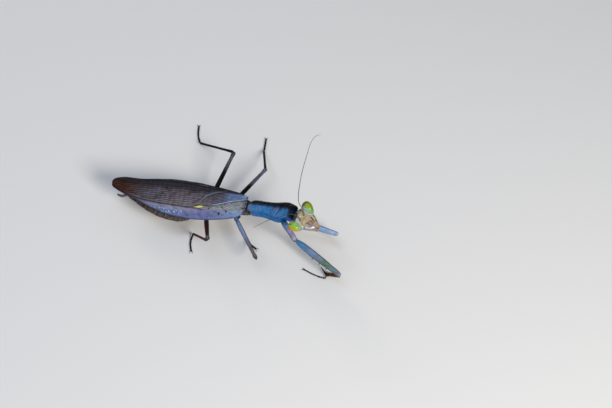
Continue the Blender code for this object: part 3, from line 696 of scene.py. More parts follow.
thoraxShape = {
    # x, half width, underside, top, lean forward per mm down
    "plan": [(0.80, 1.2, 8.5, 10.1, 0.58), (0.72, 1.9, 8.2, 10.5, 0.58), (0.0, 2.6, 8.05, 10.85, 0.5),
             (-2.2, 3.1, 8.0, 11.0, 0.25), (-5.5, 3.3, 7.8, 10.9, 0.0), (-8.6, 3.3, 7.4, 10.7, 0.0),
             (-11.0, 3.2, 7.25, 10.35, 0.0), (-12.8, 3.0, 7.1, 9.7, 0.0), (-15.6, 2.5, 6.9, 9.2, 0.0)],
    "around": 128, "power": 2.5, "lean": 0.4, "middle": 0.6,
    # the grooves between the side plates slant back as they go down; one more crosses the underside
    "grooves": [-1.6, -4.1, -6.8, -9.3, -11.9], "grooveWidth": 0.20, "grooveSlant": 1.3, "grooveDepth": 0.07,
    "sternalAt": -7.4, "sternalWidth": 0.3, "sternalDepth": 0.08, "keelHeight": 0.05, "keelWidth": 0.2,
    "skin": (70, 60, 62), "plate": (96, 92, 100), "seam": (24, 20, 22),
    "coats": [(0.6, "plate", ("fast", -0.5, 0.8)), (0.9, "seam", ("grooved", 0.3, 0.9)),
              (0.5, "seam", ("side", -0.2, 0.8))],
}


# Meso- and metathorax: rings of power 2.5 with slanting pleural grooves and a raised sternum.
def makeThorax():
    v = thoraxShape
    x = np.linspace(0.80, -15.6, 170)
    half, low, high, lean = readTable(v["plan"], x).T
    middle = (1 - v["middle"]) * low + v["middle"] * high
    centre = np.column_stack([x, 0 * x, middle])
    upward = np.column_stack([-lean, 0 * lean, np.ones_like(lean)])
    t = turns(v["around"])
    side, flank = np.sin(t)[None, :], np.abs(np.cos(t))[None, :]
    slant = x[:, None] + v["grooveSlant"] * side
    grooves = sum(bell(slant, at, v["grooveWidth"]) for at in v["grooves"]) * rise(0.15, 0.6, flank)
    sternal = bell(x[:, None], v["sternalAt"], v["sternalWidth"]) * rise(-0.3, -0.8, side)
    keel = bell(flank, 0, v["keelWidth"]) * rise(-0.5, -1, side)
    swell = v["keelHeight"] * keel - v["grooveDepth"] * grooves - v["sternalDepth"] * sternal
    rings = superRings(centre, np.array([0, 1.0, 0]), upward, half, high - middle, middle - low, v["around"],
                       v["power"], v["lean"], swell)
    fields = {"fast": ripple(rings, 0.9, 31), "grooved": grooves + sternal, "side": side}
    tone = coated(plain(v["skin"], rings), v["coats"], v, fields)
    ringPiece("thoraxSkin", rings, tone, looks["bellyShell"], ["thorax"])


abdomenShape = {
    # x, half width, sideways shift, height of the side edge, rise above it, depth below it
    "plan": [(-39.1, 0.45, -0.75, 7.9, 0.34, 0.4), (-38.6, 0.9, -0.75, 7.85, 0.5, 0.62),
             (-37.6, 1.35, -0.75, 7.75, 0.7, 0.85), (-34.6, 2.85, -0.85, 7.4, 1.2, 1.5),
             (-31.2, 4.6, -0.95, 7.3, 1.6, 2.0), (-27.6, 6.1, -0.95, 7.25, 1.8, 2.3),
             (-24.0, 7.05, -0.80, 7.2, 1.88, 2.40), (-20.6, 7.30, -0.65, 7.1, 1.80, 2.3),
             (-17.6, 6.6, -0.40, 7.15, 1.75, 2.0), (-15.6, 5.0, -0.10, 7.6, 1.7, 1.6),
             (-14.8, 3.5, 0.0, 7.8, 1.45, 1.2)],
    "ends": [-14.5, -17.8, -21.0, -24.2, -27.5, -30.7, -33.6, -36.2, -38.95],
    "flare": [(0.0, -0.10), (0.12, -0.06), (0.5, 0.02), (0.8, 0.07), (0.93, 0.07), (1.0, 0.0)],
    "rowsEach": 40, "around": 160, "power": 1.85, "flareUp": 0.5, "flareDown": 0.6, "roughness": 0.02,
    "pleatAt": -0.28, "pleatWidth": 0.13, "pleatDepth": 0.045, "keelWidth": 0.06, "keelHeight": 0.05,
    "back": (70, 58, 52), "band": (142, 100, 88), "glint": (66, 92, 92), "dark": (38, 31, 32),
    "belly": (112, 92, 80),
    "coats": [(0.35, "glint", ("slow", 0.1, 0.9)), (0.8, "belly", ("side", -0.15, -0.5)),
              (0.55, "band", ("share", "at", 0.93, 0.07), ("fast", -0.9, 0.6)),
              (0.8, "dark", ("share", 0.22, 0.0)), (0.7, "dark", "pleat"),
              (0.5, "dark", ("slow", -0.2, -0.9)),
              (0.30, "band", ("share", "at", 0.6, 0.25), ("fast", 0.2, 0.9))],
}


# The abdomen is one stepped skin: the half width follows the plan plus a flare read off each
# segment's own share, so every rear edge stands over the next segment.
def makeAbdomen():
    v = abdomenShape
    ends = np.array(v["ends"])
    runs = [np.linspace(a, b, v["rowsEach"], endpoint=False) for a, b in zip(ends, ends[1:])]
    x = np.concatenate(runs + [[ends[-1], -39.08]])
    k = np.clip(np.searchsorted(-ends, -x, side="right") - 1, 0, 7)
    share = np.clip((x - ends[k]) / (ends[k + 1] - ends[k]), 0, 1)
    half, shift, edge, up, down = readTable(v["plan"], x).T
    flare = readTable(v["flare"], share)[:, 0]
    t = turns(v["around"])
    side, across = np.sin(t)[None, :], np.cos(t)[None, :]
    pleat = bell(side, v["pleatAt"], v["pleatWidth"]) * rise(0.3, 0.8, np.abs(across))
    keel = bell(across, 0, v["keelWidth"]) * rise(0.2, 0.9, side)
    swell = v["keelHeight"] * keel - v["pleatDepth"] * pleat
    centre = np.column_stack([x, shift, edge])
    rings = superRings(centre, np.array([0, 1.0, 0]), np.array([0, 0, 1.0]), half + flare,
                       up + flare * v["flareUp"], down + flare * v["flareDown"], v["around"], v["power"], 0.0,
                       swell)
    slow, fast = ripple(rings, 2.2, 41), ripple(rings, 0.7, 42)
    rings = rings + v["roughness"] * (fast + slow)[..., None] * unit(rings - centre[:, None])
    fields = {"slow": slow, "fast": fast, "side": side, "share": share[:, None], "pleat": pleat}
    tone = coated(plain(v["back"], rings), v["coats"], v, fields)
    nodes = [f"abdomen_{n}" for n in range(1, 9)]
    ringPiece("abdomenSkin", rings, tone, looks["bellyShell"], nodes, crease=75)


# Cerci: the radii run evenly from root to tip, and the line and colours from the root outwards.
cercusShape = {
    "joints": 9, "radius": (0.30, 0.40, 0.34, 0.16), "flatness": 0.85, "pinch": 0.20, "fullness": 0.12,
    # x, distance to the side, height
    "line": [(-36.6, 1.3, 7.75), (-37.4, 2.0, 7.75), (-38.1, 2.3, 7.7), (-38.9, 2.2, 7.65),
             (-39.75, 1.8, 7.7)],
    "middle": (-0.75, -0.75, -0.75, -0.8, -0.85),
    "colours": [(0, 84, 66, 62), (0.5, 120, 104, 100), (0.8, 70, 56, 54), (1, 40, 30, 28)],
}


# A cercus's line on one side: the table's distance to the side, from the abdomen's middle there.
def cercusPath(sign):
    v = cercusShape
    return [(x, middle + sign * aside, z) for (x, aside, z), middle in zip(v["line"], v["middle"])]


# Tapering tubes pinched at each joint: fullness less than pinch * |sin(pi * joints * share)|.
def makeCerci():
    v = cercusShape
    widths = [(i / 3, r, r * v["flatness"]) for i, r in enumerate(v["radius"])]
    pinch = lambda run, t, length: \
        v["pinch"] * np.abs(np.sin(np.pi * v["joints"] * run / length)) - v["fullness"]
    for sideName, sign in (("left", 1), ("right", -1)):
        limbPiece(f"cercus_{sideName}_skin", cercusPath(sign), widths, v["colours"], looks["bellyShell"],
                  [f"cercus_{sideName}"], rows=90, around=24, relief=pinch, seed=50 + sign)


makeThorax()
makeAbdomen()
makeCerci()
print("thorax, abdomen and cerci made")


# Wings.

wingShape = {
    # x, right fold, left fold, width of the folded-down margin, hind edge of the left wing
    "plan": [(-41.85, -0.75, -0.40, 0.10, -0.92), (-41.35, -1.35, 0.50, 0.15, -1.50),
             (-40.1, -2.10, 1.20, 0.20, -2.40), (-38.0, -3.05, 1.75, 0.28, -3.45),
             (-34.5, -4.15, 1.97, 0.40, -4.55), (-31.0, -4.70, 2.37, 1.05, -5.10),
             (-28.0, -4.90, 2.87, 1.85, -5.30), (-24.5, -4.90, 3.27, 2.65, -5.30),
             (-21.0, -4.80, 3.47, 3.15, -5.20), (-18.5, -4.75, 3.46, 3.22, -5.10),
             (-16.5, -4.70, 3.44, 3.25, -4.82), (-14.5, -4.58, 3.38, 3.20, -3.80),
             (-12.0, -4.38, 3.25, 3.05, -3.66), (-8.0, -3.88, 3.02, 2.65, -2.15),
             (-5.0, -3.42, 2.78, 2.25, -0.72), (-2.8, -3.10, 2.58, 1.75, 0.10),
             (-0.7, -2.60, 2.25, 0.80, 0.80)],
    "hinge": -0.7, "end": -41.80, "grid": (430, 78, 34), "crowding": 0.97,
    "top": 12.55, "fall": 1.63 / 41.7, "slope": 42.0, "crown": 0.22, "bend": 0.16, "thickness": 0.24,
    # the right wing lies a layer lower, and a little more beyond tipFrom
    "layer": 0.72, "tipFrom": -38.5, "tipSink": 0.06, "overlap": 0.35, "marginSpare": 0.2,
    "veinHeight": 0.05, "veinsPerMm": 1.30, "veinSlant": 0.43, "veinSpread": 0.27, "clavusVeins": 7.5,
    "costalStep": 0.5, "costalLean": 0.9, "costalHeight": 0.035,
    "radiusHeight": 0.11, "radiusWidth": 0.20, "rimHeight": 0.05, "rimWidth": 0.14, "waveHeight": 0.05,
    # the furrow between the clavus and the rest, from the hind edge to the base
    "furrow": [(-14.9, -3.6), (-14.45, -2.81), (-12.84, -0.36), (-8.66, 2.16), (-4.25, 3.34), (-0.7, 3.6)],
    "furrowWidth": 0.16, "furrowDepth": 0.14,
    "base": (106, 130, 174), "middle": (84, 79, 85), "midPale": (124, 114, 128), "lavender": (104, 102, 132),
    "brown": (70, 58, 52), "tip": (64, 34, 20), "spot": (40, 26, 18), "hingeBrown": (60, 58, 48),
    "coats": [(1.0, "middle", ("x", -3.5, -10)), (0.30, "lavender", ("slow", -0.1, 0.9), ("x", -39, -30)),
              (0.45, "midPale", ("x", "at", -19.0, 6.5)), (0.40, "brown", ("slow", -0.1, -0.9)),
              (0.92, "tip", ("x", -29.5, -38.5))],
    # pale stripes along the veins, and how much darker it is between them: partly the veins' own paler
    # colour, partly painted highlight on the raised veins and painted shade between them
    "stripe": 1.35, "between": 0.45,
    # the stigma: place along, how it widens towards the base, and for its lens and its dark frame the
    # shift along, half length, half width and least width
    "stigmaAt": -14.75, "stigmaWidening": 0.15, "stigma": (226, 222, 138), "frameBrown": (46, 38, 34),
    "lens": (0.0, 1.45, 0.33, 0.06), "frame": (0.1, 1.72, 0.50, 0.10),
    # the costal band from tip to base: x, red, green, blue
    "band": [(-42.4, 52, 42, 44), (-41.0, 62, 50, 54), (-37.0, 80, 68, 80), (-34.0, 84, 84, 112),
             (-31.0, 90, 96, 130), (-28.0, 98, 106, 140), (-25.0, 106, 112, 142), (-22.0, 112, 118, 148),
             (-16.0, 110, 110, 150), (-10.0, 112, 120, 154), (-6.0, 120, 138, 170), (-2.0, 124, 148, 184),
             (-0.7, 118, 138, 168)],
}
# What differs between the wings. The left one lies on top, so its hind edge and furrow show; of the
# right one the costal band shows. Stigma: distance from the fold, slant, strength. Spots: x, y, size,
# strength.
wingSides = {
    "left": {
        "hindSide": (116, 110, 112), "farSide": (26, 20, 22), "farBlue": (60, 62, 74),
        "furrowDark": (30, 30, 40),
        "furrowPale": (136, 160, 186), "furrowGrey": (120, 124, 138), "hem": (130, 129, 112),
        "hindEdge": (34, 26, 28), "hindShine": (176, 196, 220), "edge": (10, 8, 8), "foldDark": (16, 13, 16),
        "marginBlue": (40, 44, 62), "shoulder": (176, 204, 226),
        "ground": [(0.55, "hindSide", ("away", 0.40, 0.05), ("x", -30, -20), ("x", -9, -14)),
                   (0.85, "farSide", ("away", 0.45, 0.85), ("x", -6, -13)),
                   (0.45, "farBlue", ("away", 0.65, 0.95), ("x", -3, -7))],
        "margin": [(0.80, "furrowDark", ("furrow", "at", -0.05, 0.15), ("x", -15.4, -13.0)),
                   (0.48, "furrowPale", ("furrow", "at", 0.38, 0.22), ("x", -15.8, -15.0),
                    ("x", -8.0, -12.5)),
                   (0.30, "furrowGrey", ("furrow", "at", 0.30, 0.16), ("x", -13, -11)),
                   (0.60, "hem", ("hindward", "at", 0.26, 0.15), ("x", -38, -34), ("x", -12, -16)),
                   # a thin painted shadow line along the hind edge
                   (0.75, "hindEdge", ("hindward", "at", 0.0, 0.10)),
                   (0.60, "hindShine", ("hindward", "at", 0.22, 0.16), ("x", -12.0, -9.0)),
                   # painted shade: from the fold outward the left margin is near black, where the right wing
                   # shows its blue band
                   (0.92, "edge", ("fold", -0.75, 0.15), ("x", -1.6, -4.5)),
                   (0.95, "foldDark", ("fold", 0.1, 0.4)), (0.5, "marginBlue", ("fold", 1.5, 2.3)),
                   (0.6, "shoulder", ("x", "at", -1.3, 0.6), ("y", "at", 2.35, 0.7))],
        "stigma": (0.75, 0.0, 0.08),
        "spots": [(-25.05, 0.27, 0.5, 0.75), (-25.95, -1.85, 0.55, 0.7), (-25.1, -2.8, 0.3, 0.6),
                  (-26.3, -2.9, 0.35, 0.6), (-24.45, -0.37, 0.35, 0.6), (-31.7, -4.0, 0.3, 0.5),
                  (-34.1, -3.6, 0.25, 0.5), (-27.5, -3.2, 0.3, 0.45), (-14.0, -0.6, 0.28, 0.8),
                  (-1.6, -1.6, 0.4, 0.7), (-0.8, -2.5, 0.3, 0.6)]},
    "right": {
        "openBase": (144, 148, 152), "baseGrey": (110, 108, 122), "bandLow": (86, 106, 158),
        "gloss": (158, 154, 164),
        "sparkle": (172, 222, 244), "bandRose": (128, 112, 146), "bandDark": (52, 52, 78),
        "costalBlue": (64, 66, 98),
        "rimBlue": (40, 42, 62), "foldShade": (40, 34, 48),
        "ground": [(1.0, "openBase", ("x", -17, -13)), (0.6, "baseGrey", ("x", -3.2, -1.2))],
        "margin": [(0.50, "bandLow", "low"),
                   # the pale sheen along the band and the sparkle spots are painted highlights
                   (0.45, "gloss", ("fold", "at", 0.55, 0.40), ("x", -34, -29), ("x", -13, -17)),
                   (0.85, "sparkle", ("fine", 0.30, 0.75), "sparklePlace", ("fold", "at", 1.35, 0.45)),
                   (0.30, "bandRose", ("fast", 0.2, 0.9), "low"),
                   (0.35, "bandDark", ("fast", -0.3, -0.9), ("fold", -0.2, 0.2)),
                   (0.30, "costalBlue", "costal", ("fold", 0.2, 0.5)),
                   (0.70, "rimBlue", ("rim", -0.32, -0.08)),
                   (0.60, "foldShade", ("fold", "at", 0.06, 0.12), ("x", -12.0, -13.5))],
        "stigma": (-0.62, 0.22, 0.97),
        "spots": [(-11.54, -4.08, 0.26, 0.9), (-8.33, -4.66, 0.36, 0.95), (-7.74, -2.77, 0.27, 0.9),
                  (-6.32, -3.88, 0.33, 0.95), (-7.19, -1.64, 0.26, 0.8), (-1.66, -1.95, 0.34, 0.8),
                  (-0.95, -1.8, 0.42, 0.8), (-1.25, -2.9, 0.36, 0.8)]},
}


# Paint of a forewing: coats over the back, stripes with the veins, coats on the margin, the stigma as a
# slanting lens, pointed and dark towards the wing's tip, and last the spots.
def paintForewing(sideName, points, fields, comb, inFlat):
    v, own = wingShape, wingSides[sideName]
    x, y, t, fast = (fields[k] for k in ("x", "y", "fold", "fast"))
    ground = coated(coated(plain(v["base"], points), v["coats"], v, fields), own["ground"], own, fields)
    # vein stripes: partly vein colour, partly painted highlight on the raised veins and painted shade between
    # them
    stripe = comb ** 2.5 * (0.65 + 0.35 * fast)
    ground = ground * (1 + (v["stripe"] * stripe - v["between"]) * inFlat)[..., None]
    if sideName == "right":
        sweep = linear(readTable(v["band"], x[:, 0]))[:, None, :]
        ground = ground + (sweep - ground) * rise(-0.25, 0.15, t)[..., None]
    ground = coated(ground, own["margin"], own, fields)
    beside, slope, strength = own["stigma"]
    dx = x - v["stigmaAt"]
    slant = t - beside + slope * dx
    lens, frame = (np.hypot((dx + shift) / long, slant / np.maximum(wide + v["stigmaWidening"] * dx, least))
                   for shift, long, wide, least in (v["lens"], v["frame"]))
    ground = layered(ground, (0.85 * rise(1.15, 0.90, frame), v["frameBrown"]),
                     (strength * rise(1.15, 0.85, lens), v["stigma"]))
    for at, where, size, dark in own["spots"]:
        near = np.hypot(x - at, y - where) + 0.25 * size * fast
        ground = layered(ground, (dark * rise(size * 1.15, size * 0.55, near), v["spot"]))
    return layered(ground, (0.7 * rise(-1.9, -0.9, x) * rise(0.0, 0.5, np.abs(fast)), v["hingeBrown"]))


# A forewing is a sheet: flat across the back with a slight crown, then bent down along its front
# margin by tan(slope) * w * ln(1 + e^(t / w)), t being the distance beyond the fold. Veins are raised
# where a slanting phase crosses whole numbers; cross veins join them.
def makeForewing(sideName, sign):
    v = wingShape
    rows, flatCount, foldCount = v["grid"]
    x = v["hinge"] + (v["end"] - v["hinge"]) * np.linspace(0, 1, rows) ** v["crowding"]
    right, left, margin, hind = readTable(v["plan"], x).T[:, :, None]
    middle, half = (right + left) / 2, (left - right) / 2
    fold, inner = (left, hind) if sign > 0 else (right, left - v["overlap"] * half)
    level = 0.0 if sign > 0 else v["layer"] + v["tipSink"] * np.maximum(0, v["tipFrom"] - x)[:, None]
    wide = np.abs(fold - inner)
    share = np.linspace(0, 1, flatCount)[None, :]
    ease = np.linspace(0, 1, foldCount + 1)[None, 1:]
    slope = math.radians(v["slope"])
    beyond = (margin + v["marginSpare"]) * math.cos(slope)
    t = np.concatenate([-wide * (1 - share), beyond * ease], axis=1)
    y = fold + sign * t
    x = x[:, None] + 0 * y
    # the base is rounded back from the hinge, and the outer corner too
    across = (y - inner) / (fold + sign * beyond - inner)
    x = x - rise(-3.2, -0.7, x) * (0.55 * rise(0.62, 1.0, across) + 0.30 * rise(0.25, 0.0, across))
    drop = math.tan(slope) * v["bend"] * np.log1p(np.exp(np.clip(t / v["bend"], -30, 30)))
    z = v["top"] + x * v["fall"] - level - v["crown"] * np.minimum(1, np.abs(y - middle) / half) ** 2 - drop

    flat = np.stack([x, y, z], -1)
    slow, fast, fine = (ripple(flat, step, seed + sign) for step, seed in ((5.0, 60), (1.5, 70), (0.6, 80)))
    furrowY = readTable(v["furrow"], np.clip(x[:, 0], v["furrow"][0][0], v["furrow"][-1][0]))[:, :1]
    # yy runs the same way on both wings, so the right one carries the left one's veins mirrored
    yy, hindLine = (y, hind) if sign > 0 else (right + left - y, right + left - hind)
    if sign < 0:
        furrowY = right + left - furrowY
    inClavus = rise(-0.1, 0.1, (furrowY - y) * sign) * rise(-15.2, -14.6, x)
    furrow = bell(y, furrowY, v["furrowWidth"]) * rise(-15.2, -14.4, x)
    phase = v["veinsPerMm"] * yy + v["veinSpread"] * np.maximum(0, yy - 1) ** 2 - v["veinSlant"] * x \
        + 0.19 * slow + 0.08 * fast
    fan = np.abs(furrowY - y) / np.maximum(0.3, np.abs(furrowY - hindLine))
    phase = np.where(inClavus > 0.5, v["clavusVeins"] * fan + 0.12 * slow, phase)
    inFlat = rise(0.25, -0.25, t)
    comb = 0.5 + 0.5 * np.cos(2 * np.pi * phase)
    vein = (comb ** 4 * (0.75 + 0.25 * fast) + 0.4 * (1 - comb) ** 9 * rise(-0.2, 0.6, fast)) * inFlat
    costalPhase = 2 * np.pi * (x + v["costalLean"] * t) / v["costalStep"]
    costal = (0.5 + 0.5 * np.cos(costalPhase)) ** 4 * (1 - inFlat)
    rim = bell(t - beyond, 0.0, v["rimWidth"])
    edgeward = np.minimum(t + wide, beyond - t + 1.5)
    wave = v["waveHeight"] * slow * rise(0, 2, edgeward)
    lift = v["veinHeight"] * vein + v["costalHeight"] * costal * (1 - rim) + v["rimHeight"] * rim + wave \
        + v["radiusHeight"] * bell(t, 0.0, v["radiusWidth"]) - v["furrowDepth"] * furrow
    normalY, normalZ = sign * math.sin(slope) * (1 - inFlat), 1 - (1 - math.cos(slope)) * (1 - inFlat)
    thin = v["thickness"] * (0.55 + 0.45 * rise(0.0, 0.9, np.minimum(t + wide, beyond - t))) - wave
    upper = np.stack([x, y + lift * normalY, z + lift * normalZ], -1)
    lower = np.stack([x, y - thin * normalY, z - thin * normalZ], -1)

    fields = {"x": x, "y": y, "fold": t, "rim": t - beyond, "slow": slow, "fast": fast, "fine": fine,
              "away": np.clip((y - hind) / (left - hind), 0, 1), "furrow": y - furrowY, "hindward": y - hind,
              "low": rise(0.6, 1.6, t) * rise(-40, -34, x), "costal": costal,
              "sparklePlace": bell(x, -24.5, 3.2) + 0.7 * bell(x, -20.5, 1.6)}
    tone = paintForewing(sideName, upper, fields, comb, inFlat)
    slabPiece(f"forewing_{sideName}_leather", upper, lower, np.stack([x, y], -1), tone, looks["wingLeather"],
              [f"forewing_{sideName}"], crease=80)


hindwingShape = {
    "plan": [(-38.6, 0.5), (-37.0, 1.3), (-33.0, 1.95), (-26.0, 2.6), (-18.0, 2.9), (-13.6, 2.5),
             (-12.7, 1.9)],
    # clear space above it and between the two, and how much lower its outer edge lies
    "clearance": 0.96, "apart": 0.16, "outerSink": 0.12, "thickness": 0.36,
    "pleats": 5, "pleatHeight": 0.10, "membrane": (150, 118, 118), "fold": (84, 62, 64),
    "coats": [(0.8, "fold", "between"), (0.4, "fold", ("slow", 0, 0.8))],
}


# The hind wings lie folded like fans: pleats are |sin| waves across the pad.
def makeHindwings():
    v = hindwingShape
    x = np.linspace(-12.7, -38.6, 130)
    width = readTable(v["plan"], x)[:, :1]
    right, left = readTable(wingShape["plan"], x)[:, :2].T[:, :, None]
    top = (wingShape["top"] + x * wingShape["fall"] - wingShape["layer"] - v["clearance"])[:, None]
    share = np.linspace(0, 1, 50)[None, :]
    for sideName, sign in (("left", 1), ("right", -1)):
        y = (right + left) / 2 + sign * (v["apart"] + width * share)
        pleat = np.abs(np.sin(np.pi * v["pleats"] * share))
        z = top - 0.11 + v["pleatHeight"] * (pleat - 1) - v["outerSink"] * share
        upper = np.stack([x[:, None] + 0 * y, y, z], -1)
        fields = {"between": 1 - pleat, "slow": ripple(upper, 1.4, 90 + sign)}
        tone = coated(plain(v["membrane"], upper), v["coats"], v, fields)
        slabPiece(f"hindwing_{sideName}_fan", upper, upper - np.array([0, 0, v["thickness"]]), upper[..., :2],
                  tone, looks["wingLeather"], [f"hindwing_{sideName}"])


makeForewing("right", -1)
makeForewing("left", 1)
makeHindwings()
print("wings made")


# Head.

headCentre = np.array([16.58, -8.77, 22.41])
headDown = np.array([0.9161, -0.3043, -0.2612])
headFront = np.array([0.0302, -0.5970, 0.8017])
headLeft = unit(np.cross(headFront, -headDown))
headLeft = headLeft * np.sign(headLeft[1])


# A point on the face: l to the mantis's left, m down towards the mouth, n out of the face.
def face(l, m, n):
    l, m, n = np.broadcast_arrays(l, m, n)
    return headCentre + l[..., None] * headLeft + m[..., None] * headDown + n[..., None] * headFront


headShape = {
    # down the face, half width, out to the face, back to the nape
    "plan": [(-2.22, 0.45, 0.05, 0.35), (-2.12, 0.85, 0.16, 0.62), (-1.95, 1.35, 0.38, 0.95),
             (-1.65, 1.98, 0.68, 1.22), (-1.1, 2.45, 0.98, 1.5), (0.0, 2.62, 1.15, 1.65),
             (1.2, 2.76, 1.24, 1.62), (2.3, 2.72, 1.22, 1.42),
             (3.3, 2.36, 1.14, 1.2), (4.1, 1.92, 1.02, 1.05), (4.55, 1.66, 0.92, 0.95),
             (4.85, 1.46, 0.86, 0.86), (5.3, 1.15, 0.72, 0.74), (5.7, 0.80, 0.52, 0.52),
             (5.95, 0.38, 0.30, 0.30)],
    "power": 2.3, "around": 220,
    # l, m and radius of each ocellus; how far out of the face they stand
    "ocelli": [(0.0, -0.42, 0.17), (0.42, -0.86, 0.19), (-0.42, -0.86, 0.19)], "ocelliHeight": 0.13,
    # the feelers' sockets and, for each eye, its orbit: l, m and for the orbit half width and half length
    "sockets": (0.95, 0.05), "orbits": (3.42, 0.10, 1.62, 2.45),
    # each feature's height out of the face, and its parts; a is the distance from the middle, bowed
    # and cupped run down the face along lines that curve down or up to the sides
    "features": {
        "mound": (0.16, (("l", "at", 0, 0.75), ("m", "at", -0.65, 0.5))),
        "socketRing": (0.13, (("socket", "at", 0.42, 0.10),)),
        "socketPit": (-0.18, (("socket", "at", 0, 0.30),)),
        "shieldEdge": (0.05, (("bowed", "at", 0.82, 0.09), ("a", 1.55, 1.25))),
        "shield": (0.07, (("bowed", 0.80, 1.05), ("m", 2.32, 2.12), ("a", 1.65, 1.25))),
        "seam": (-0.09, (("cupped", "at", 2.28, 0.075), ("a", 1.9, 1.6)),
                 (("m", "at", 3.62, 0.075), ("a", 1.6, 1.2))),
        "cheekSeam": (-0.08, (("cheek", "at", 1.62, 0.08), ("m", 0.9, 1.3), ("m", 4.6, 4.0))),
        "crownSeams": (-0.07, (("a", "at", 0.62, 0.055), ("m", -1.15, -1.45)),
                       (("a", "at", 1.35, 0.055), ("m", -1.15, -1.45))),
        "mandible": (0.20, (("a", "at", 1.30, 0.30), ("m", "at", 4.0, 0.55))),
        "labrum": (0.14, (("m", 3.62, 3.85), ("a", "at", 0, 0.75))),
        "lip": (-0.10, (("a", "at", 0, 0.07), ("m", 4.9, 5.4))),
        "orbitRim": (0.10, (("orbit", "at", 0.96, 0.06),)),
        "clypeusKeel": (0.06, (("l", "at", 0, 0.16), ("m", 2.4, 2.8), ("m", 3.6, 3.2)))},
    "fastHeight": 0.016, "fineHeight": 0.007,
    "skin": (162, 152, 116), "pink": (176, 142, 132), "olive": (126, 118, 60), "pale": (196, 194, 190),
    "blueGrey": (70, 98, 118), "cheekFrost": (172, 186, 208), "shadow": (78, 62, 54), "russet": (96, 40, 20),
    "chestnut": (104, 70, 56), "lipBlue": (124, 130, 156), "cheekOlive": (74, 66, 44),
    "ground": [(0.50, "pink", ("slow", -0.1, 0.8)), (0.45, "olive", ("fast", -0.1, -0.9)),
               (0.14, "pale", ("fine", 0.3, 0.9)), (0.75, "blueGrey", ("m", "at", -1.85, 0.42), "front"),
               # a painted highlight over the lower right cheek
               (0.30, "cheekFrost", ("l", -1.0, -1.7), ("m", 1.8, 2.3), ("m", 5.2, 4.4)),
               (0.22, "shadow", ("m", 2.1, 2.6), "front"),
               (0.50, "russet", ("l", "at", 0.55, 0.80), ("m", "at", 3.05, 0.62)),
               (0.30, "chestnut", ("l", "at", -0.65, 0.60), ("m", "at", 3.0, 0.62)),
               (0.50, "lipBlue", ("m", 3.6, 3.9), ("m", 5.1, 4.7), ("l", "at", 0.0, 0.95)),
               (0.40, "cheekOlive", ("l", 1.15, 1.55), ("m", 2.2, 2.6))],
    "seamBrown": (84, 58, 44), "crownGrey": (40, 44, 50), "ocellusAmber": (216, 196, 150),
    "ringCream": (196, 190, 160), "pitBrown": (52, 34, 28), "edgeBrown": (96, 74, 46),
    "orbitBlue": (186, 198, 222),
    "crownRim": (28, 38, 50), "nape": (20, 24, 32), "underside": (70, 60, 56), "lipPlum": (60, 30, 34),
    "lines": [(0.28, "seamBrown", ("seams", 0.25, 0.9)), (0.5, "crownGrey", "crownSeams"),
              (0.8, "ocellusAmber", "dome"), (0.6, "ringCream", "socketRing"), (0.8, "pitBrown", "socketPit"),
              (0.50, "edgeBrown", "shieldEdge"), (0.7, "orbitBlue", "orbitRim", "front"),
              # a painted shade band along the top of the crown
              (0.85, "crownRim", ("crownLine", -1.15, -1.50), ("l", 0.45, 0.10)),
              (0.85, "nape", "behind", ("m", 3.0, 0.5)), (0.6, "underside", "behind"),
              (0.8, "lipPlum", "lip")],
    # all strokes' strength, and where a stroke starts and stops fading as shares of its half width
    "strokeStrength": 1.12, "strokeOuter": 1.45, "strokeInner": 0.45,
}
